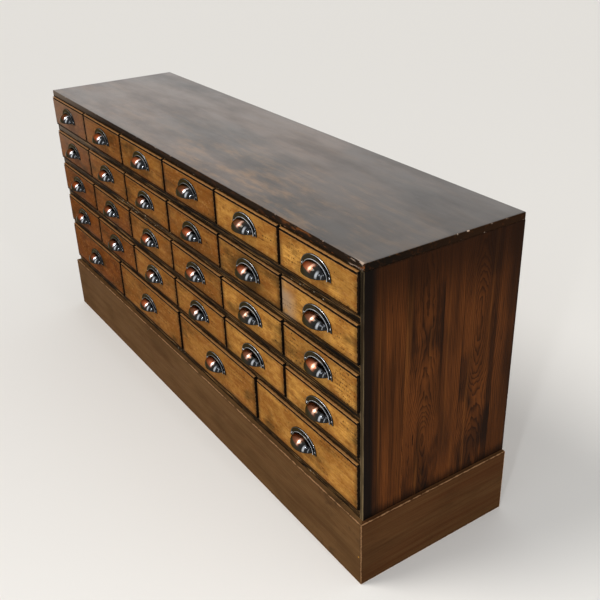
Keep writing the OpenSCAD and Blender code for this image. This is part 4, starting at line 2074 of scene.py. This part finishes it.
@dataclass
class DividerGrid:
    """Shelves and uprights that make the drawer openings.

    Attributes:
        rows: Construction names of the drawers in each row, top row first.
        node: The construction node that it stands for.
        upright: Thickness of the uprights between small drawers.
        wide_upright: Thickness of the uprights between wide drawers.
        run: Gap under a drawer.
        head: Gap above it.
        gap: Gap above and below the uprights.
    """

    rows: list[list[str]]
    node: str = "divider_grid"
    upright: float = 0.009
    wide_upright: float = 0.012
    run: float = 0.0003
    head: float = 0.0015
    gap: float = JOINT_GAP

    def build(self) -> None:
        """Make the grid."""
        low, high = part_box(self.node)
        width, depth = (low.x, high.x), (low.y, high.y)
        floors = [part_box(row[0])[0].z - self.run for row in self.rows]
        heads = [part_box(row[0])[1].z + self.head for row in self.rows]
        stock = Stock()
        for k, (head, floor) in enumerate(zip(heads[1:], floors)):
            blank = Blank(width, depth, (head, floor), Cut.RAIL, Lot(1.3 + 2.1 * k, 0.45, 0.6))
            stock.board(blank, ease=0.0015, steps=2, stations=60)
        for k, row in enumerate(self.rows):
            half = (self.wide_upright if k == len(self.rows) - 1 else self.upright) / 2
            up = (floors[k] + self.gap, heads[k] - self.gap)
            for left, right in zip(row, row[1:]):
                x = (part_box(left)[1].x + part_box(right)[0].x) / 2
                stock.board(Blank((x - half, x + half), depth, up, Cut.POST, Lot(x * 3 + k)))
        piece = stock.make("divider_boards", [Finish.RAIL.material])
        dress(piece, "case", "rail_wood", self.node)


@dataclass
class Plinth:
    """Plinth boards, mitred in front, with glue blocks in the corners.

    Attributes:
        node: The construction node that it stands for.
        board_t: Thickness of the boards.
        ease: Radius of the upper edge.
        soft: How far the other edges are eased.
        block: Width of a glue block.
        block_up: How far the blocks stop above the floor.
        block_ease: Radius of their edges.
        gap: Gap between boards.
    """

    node: str = "plinth_frame"
    board_t: float = 0.022
    ease: float = 0.003
    soft: float = 0.0008
    block: float = 0.04
    block_up: float = 0.02
    block_ease: float = 0.002
    gap: float = JOINT_GAP

    def __post_init__(self) -> None:
        """Read the plinth's box from the frame."""
        self.low, self.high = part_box(self.node)
        self.inner = self.high.x - self.board_t - self.gap

    def section(self) -> list[Point]:
        """Section of a board, as depth from its outer face and height.

        Returns:
            Points round the section.
        """
        height, t, r, soft = self.high.z - self.low.z, self.board_t, self.ease, self.soft
        face = [(0.0, soft), *((0.0, height * share) for share in (0.25, 0.5, 0.75))]
        crown = [(r - r * math.cos(turn), height - r + r * math.sin(turn)) for turn in arc(0, 90, 5)]
        back = [(t - soft, height), (t, height - soft), (t, soft), (t - soft, 0.0), (soft, 0.0)]
        return face + crown + back

    def build_front(self, stock: Stock) -> None:
        """Add the front board, mitred at both ends.

        Args:
            stock: Where it goes.
        """
        x, low, steps = self.high.x, self.low, 60
        rings = [
            np.array(
                [
                    ((x - depth) * (2 * k / steps - 1), low.y + depth, low.z + up)
                    for depth, up in self.section()
                ]
            )
            for k in range(steps + 1)
        ]
        depth, up = (low.y, low.y + self.board_t), (low.z, self.high.z)
        stock.loft(rings, Blank((-x, x), depth, up, Cut.RAIL, Lot(3.1, 0.45, 0.6)))

    def build_end(self, stock: Stock, sign: int) -> None:
        """Add one end's board, mitred in front, and its two glue blocks.

        Args:
            stock: Where they go.
            sign: 1 for the right end, -1 for the left.
        """
        x, low, high, steps = self.high.x, self.low, self.high, 16
        rings = []
        for share in (k / steps for k in range(steps + 1)):
            ring = []
            for depth, up in self.section():
                front = low.y + self.gap + depth
                ring.append((sign * (x - depth), front + (high.y - front) * share, low.z + up))
            rings.append(np.array(ring))
        width = tuple(sorted((sign * (x - self.board_t), sign * x)))
        up = (low.z, high.z)
        stock.loft(rings, Blank(width, (low.y, high.y), up, Cut.RUNNER, Lot(7.7 + sign, 0.15, 0.6)))
        width = tuple(sorted((sign * self.inner, sign * (self.inner - self.block))))
        in_from_face = self.board_t + self.gap
        for y in (low.y + in_from_face, high.y - in_from_face - self.block):
            lot = Lot(y * 9 + sign, 0.7, 0.4)
            blank = Blank(width, (y, y + self.block), (self.block_up, high.z), Cut.POST, lot)
            stock.board(blank, ease=self.block_ease, finish=1)

    def build(self) -> None:
        """Make the plinth."""
        low, high = self.low, self.high
        stock = Stock()
        self.build_front(stock)
        for sign in (-1, 1):
            self.build_end(stock, sign)
        depth = (high.y - self.board_t, high.y)
        back = Blank((-self.inner, self.inner), depth, (low.z, high.z), Cut.RAIL, Lot(5.5, 0.4, 0.7))
        stock.board(back, finish=1)
        piece = stock.make("plinth_boards", [Finish.PLINTH.material, Finish.PLANK.material])
        dress(piece, "case", "plinth_wood", self.node)


@dataclass(frozen=True)
class Lamp:
    """A soft lamp: a rectangle, or the sun behind thin cloud.

    Attributes:
        name: The lamp's name.
        place: Where it hangs; for the sun, which way it stands.
        power: Watts; for the sun, watts per square metre.
        size: Width and height; none for the sun.
        haze: Width of the sun in degrees.
        target: What it points at.
        colour: Colour of its light.
    """

    name: str
    place: tuple[float, float, float]
    power: float
    size: Optional[tuple[float, float]] = None
    haze: float = 27.0
    target: tuple[float, float, float] = (0.2, 0.0, 0.5)
    colour: tuple[float, float, float] = (0.92, 0.96, 1.0)

    def hang(self) -> None:
        """Put the lamp in the scene."""
        light = bpy.data.lights.new(self.name, "AREA" if self.size else "SUN")
        light.energy = self.power
        light.color = self.colour
        if self.size:
            light.shape = "RECTANGLE"
            light.size, light.size_y = self.size
        else:
            light.angle = math.radians(self.haze)
        lamp = show(self.name, light)
        lamp.location = self.place
        aim = (Vector(self.target) if self.size else Vector()) - Vector(self.place)
        lamp.rotation_euler = aim.to_track_quat("-Z", "Y").to_euler()


@dataclass
class Studio:
    """Pale floor, soft lamps, and the camera at the photograph's viewing angle.

    Attributes:
        azimuth: How far the camera stands round to the right of straight ahead, in degrees.
        elevation: Its height above the horizon, in degrees.
        roll: Its tilt about its own axis, in degrees.
        distance: From the camera to the target.
        target: The point it turns about.
        focal: Focal length in pixels of the picture.
        centre: Where its axis meets the picture, in pixels.
        picture: Width and height of the picture in pixels.
        sensor: Width of the sensor, in millimetres.
        clip: The nearest and the furthest that it sees.
        floor_reach: Half the floor's width.
        floor_tint: Colour of the floor.
        floor_roughness: How dull the floor is.
        fill: Light from all round, as a share of white.
        sun: The main lamp.
        strip_size: Width and height of each strip lamp.
        strips: Place and power of each strip lamp.
    """

    azimuth: float = 55.44
    elevation: float = 27.74
    roll: float = -1.09
    distance: float = 2.2885
    target: tuple[float, float, float] = (0.45104, 0.01932, 0.50535)
    focal: float = 833.64
    centre: tuple[float, float] = (325.75, 301.5)
    picture: float = 600.0
    sensor: float = 36.0
    clip: tuple[float, float] = (0.05, 100.0)
    floor_reach: float = 30.0
    floor_tint: Colour = srgb(234, 231, 226)
    floor_roughness: float = 0.7
    fill: float = 0.5
    sun: Lamp = Lamp("window_sun", (-0.36, -0.52, 0.77), 1.55, colour=(1.0, 0.985, 0.96))
    strip_size: tuple[float, float] = (0.09, 1.4)
    strips: tuple[tuple[tuple[float, float, float], float], ...] = (
        ((2.62, -2.5, 2.4), 21.0),
        ((3.05, -2.05, 2.4), 21.0),
        ((3.6, -0.1, 2.6), 14.0),
    )

    def camera(self) -> None:
        """Set up the camera."""
        a, e, r = (math.radians(angle) for angle in (self.azimuth, self.elevation, self.roll))
        back = Vector((math.sin(a) * math.cos(e), -math.cos(a) * math.cos(e), math.sin(e)))
        level = Vector((0.0, 0.0, 1.0)).cross(back).normalized()
        upright = back.cross(level)
        right = math.cos(r) * level + math.sin(r) * upright
        up = -math.sin(r) * level + math.cos(r) * upright
        lens = bpy.data.cameras.new("camera")
        lens.sensor_width = self.sensor
        lens.lens = self.focal / self.picture * self.sensor
        lens.shift_x = (self.picture / 2 - self.centre[0]) / self.picture
        lens.shift_y = (self.centre[1] - self.picture / 2) / self.picture
        lens.clip_start, lens.clip_end = self.clip
        eye = show("camera", lens)
        turn = Matrix((right, up, back)).transposed().to_4x4()
        eye.matrix_world = Matrix.Translation(Vector(self.target) + back * self.distance) @ turn
        bpy.context.scene.camera = eye

    def floor(self) -> None:
        """Lay the floor."""
        corner_signs = ((-1, -1), (1, -1), (1, 1), (-1, 1))
        points = [(x * self.floor_reach, y * self.floor_reach, 0) for x, y in corner_signs]
        mesh = bpy.data.meshes.new("floor")
        mesh.from_pydata(points, [], [(0, 1, 2, 3)])
        bench = Bench("floor")
        given = {"Base Color": self.floor_tint, "Roughness": self.floor_roughness}
        feed(bench.tree, bench.shader, given)
        mesh.materials.append(bench.material)
        ground = show("floor", mesh)

    def world(self) -> None:
        """Light the surroundings evenly, and show them white to the camera and in gloss."""
        world = bpy.data.worlds.new("world")
        bpy.context.scene.world = world
        world.use_nodes = True
        tree = world.node_tree
        rays = add_node(tree, "ShaderNodeLightPath", {}).outputs
        kinds = ("Is Camera Ray", "Is Glossy Ray", "Is Transmission Ray")
        camera, glossy, transmitted = (Value(tree, rays[kind]) for kind in kinds)
        strength = camera.most(glossy.most(transmitted)).rise(0.0, 1.0, 1.0, self.fill)
        given = {"Color": (1.0, 1.0, 1.0, 1.0), "Strength": strength}
        feed(tree, tree.nodes["Background"], given)

    def build(self) -> None:
        """Set up the studio."""
        bpy.context.scene.view_settings.view_transform = "Standard"
        self.camera()
        self.floor()
        self.world()
        self.sun.hang()
        for k, (place, power) in enumerate(self.strips):
            Lamp(f"strip_{k}", place, power, self.strip_size).hang()


@dataclass
class Chest:
    """The whole chest, read from the frame.

    Attributes:
        left_tone_and_shade: How pale the drawer fronts are at the left end, darker there partly as
            painted shade.
        right_tone: How pale they are at the right end.
        low_left: How much darker they get downwards at the left end.
        spread: How far a front may differ from its neighbours.
        play: How far a drawer may sit off its true place, to the side and up.
        marked: Drawers with a mark of their own, by row and column.
        toned: Drawers darker or paler than the ones beside them.
        seed: Seed of the drawers' differences.
    """

    left_tone_and_shade: float = -0.1
    right_tone: float = 0.98
    low_left: float = 0.6
    spread: float = 0.1
    play: tuple[float, float] = (0.0007, 0.0004)
    marked: dict[tuple[int, int], Marks] = field(
        default_factory=lambda: {(2, 5): Marks.SMOKED, (2, 6): Marks.BLEACHED, (3, 6): Marks.INKED}
    )
    toned: dict[tuple[int, int], float] = field(
        default_factory=lambda: {
            (1, 3): 0.12,
            (1, 4): -0.34,
            (2, 4): -0.12,
            (2, 5): -0.24,
            (3, 1): -0.3,
            (3, 4): -0.06,
            (3, 5): 0.26,
            (3, 6): 0.22,
            (4, 1): -0.36,
            (4, 3): 0.08,
            (5, 1): -0.06,
            (5, 2): 0.14,
            (5, 3): -0.06,
            (5, 4): -0.2,
        }
    )
    seed: int = 28

    def rows(self) -> list[list[str]]:
        """Names of the drawers, row by row from the top, left to right.

        Returns:
            The rows.
        """
        found: dict[int, list[str]] = {}
        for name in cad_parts:
            parts = name.split("_")
            if parts[0] == "drawer":
                found.setdefault(int(parts[1]), []).append(name)
        return [sorted(found[k], key=lambda name: int(name.split("_")[2])) for k in sorted(found)]

    def tone(self, node: str, chance: float) -> float:
        """How pale one drawer front is.

        Args:
            node: The drawer.
            chance: Its own difference, from -1 to 1.

        Returns:
            Its tone.
        """
        low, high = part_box(node)
        whole = CAD_BOX[1] - CAD_BOX[0]
        share = ((low.x + high.x) / 2 - CAD_BOX[0].x) / whole.x
        down = (CAD_BOX[1].z - high.z) / whole.z
        # the fronts darken towards the left partly as painted shade
        level = self.left_tone_and_shade + (self.right_tone - self.left_tone_and_shade) * share
        return level - self.low_left * down * (1 - share) + self.spread * chance

    def build_drawers(self, rows: list[list[str]], fasteners: GeometryTree) -> None:
        """Make the drawers and their pulls, each with a lot of its own.

        Args:
            rows: The drawers' names, row by row.
            fasteners: The tree that repeats fasteners.
        """
        screw = FastenerHead("screw_pattern", 0.0025, 0.0016, 0.0004).build()
        draw = np.random.default_rng(self.seed)
        for r, row in enumerate(rows):
            for c, node in enumerate(row):
                spot = (r + 1, c + 1)
                side, up = draw.uniform(-1, 1), draw.uniform(0, 1)
                shift = Vector((side * self.play[0], 0.0, up * self.play[1]))
                seed = draw.uniform(0, 9)
                tone = self.toned.get(spot, 0.0) + self.tone(node, draw.uniform(-1, 1))
                lot = Lot(seed, tone, draw.uniform(0.2, 1.0), self.marked.get(spot, Marks.PLAIN))
                body = node + "_body"
                drawer = Drawer(node, body, lot, shift)
                drawer.build_front()
                drawer.build_box()
                pull = CupPull(node.replace("drawer", "cup_pull"), body, lot, shift)
                pull.build()
                pull.build_screws(fasteners, screw, seed=10 * r + c)
        bpy.data.objects.remove(screw)

    def build(self) -> None:
        """Make every piece of the chest."""
        rows = self.rows()
        TopBoard().build()
        case = CaseBoards()
        for right in (True, False):
            case.build_side(right)
        case.build_bottom()
        fasteners = fastener_tree()
        nail = FastenerHead("nail_pattern", 0.0022, 0.0004).build()
        case.build_back(fasteners, nail)
        bpy.data.objects.remove(nail)
        DividerGrid(rows).build()
        Plinth().build()
        self.build_drawers(rows, fasteners)


def main() -> None:
    """Build the studio and the chest."""
    logging.basicConfig(level=logging.INFO, format="%(name)s: %(message)s")
    Studio().build()
    Chest().build()


if __name__ == "__main__":
    main()
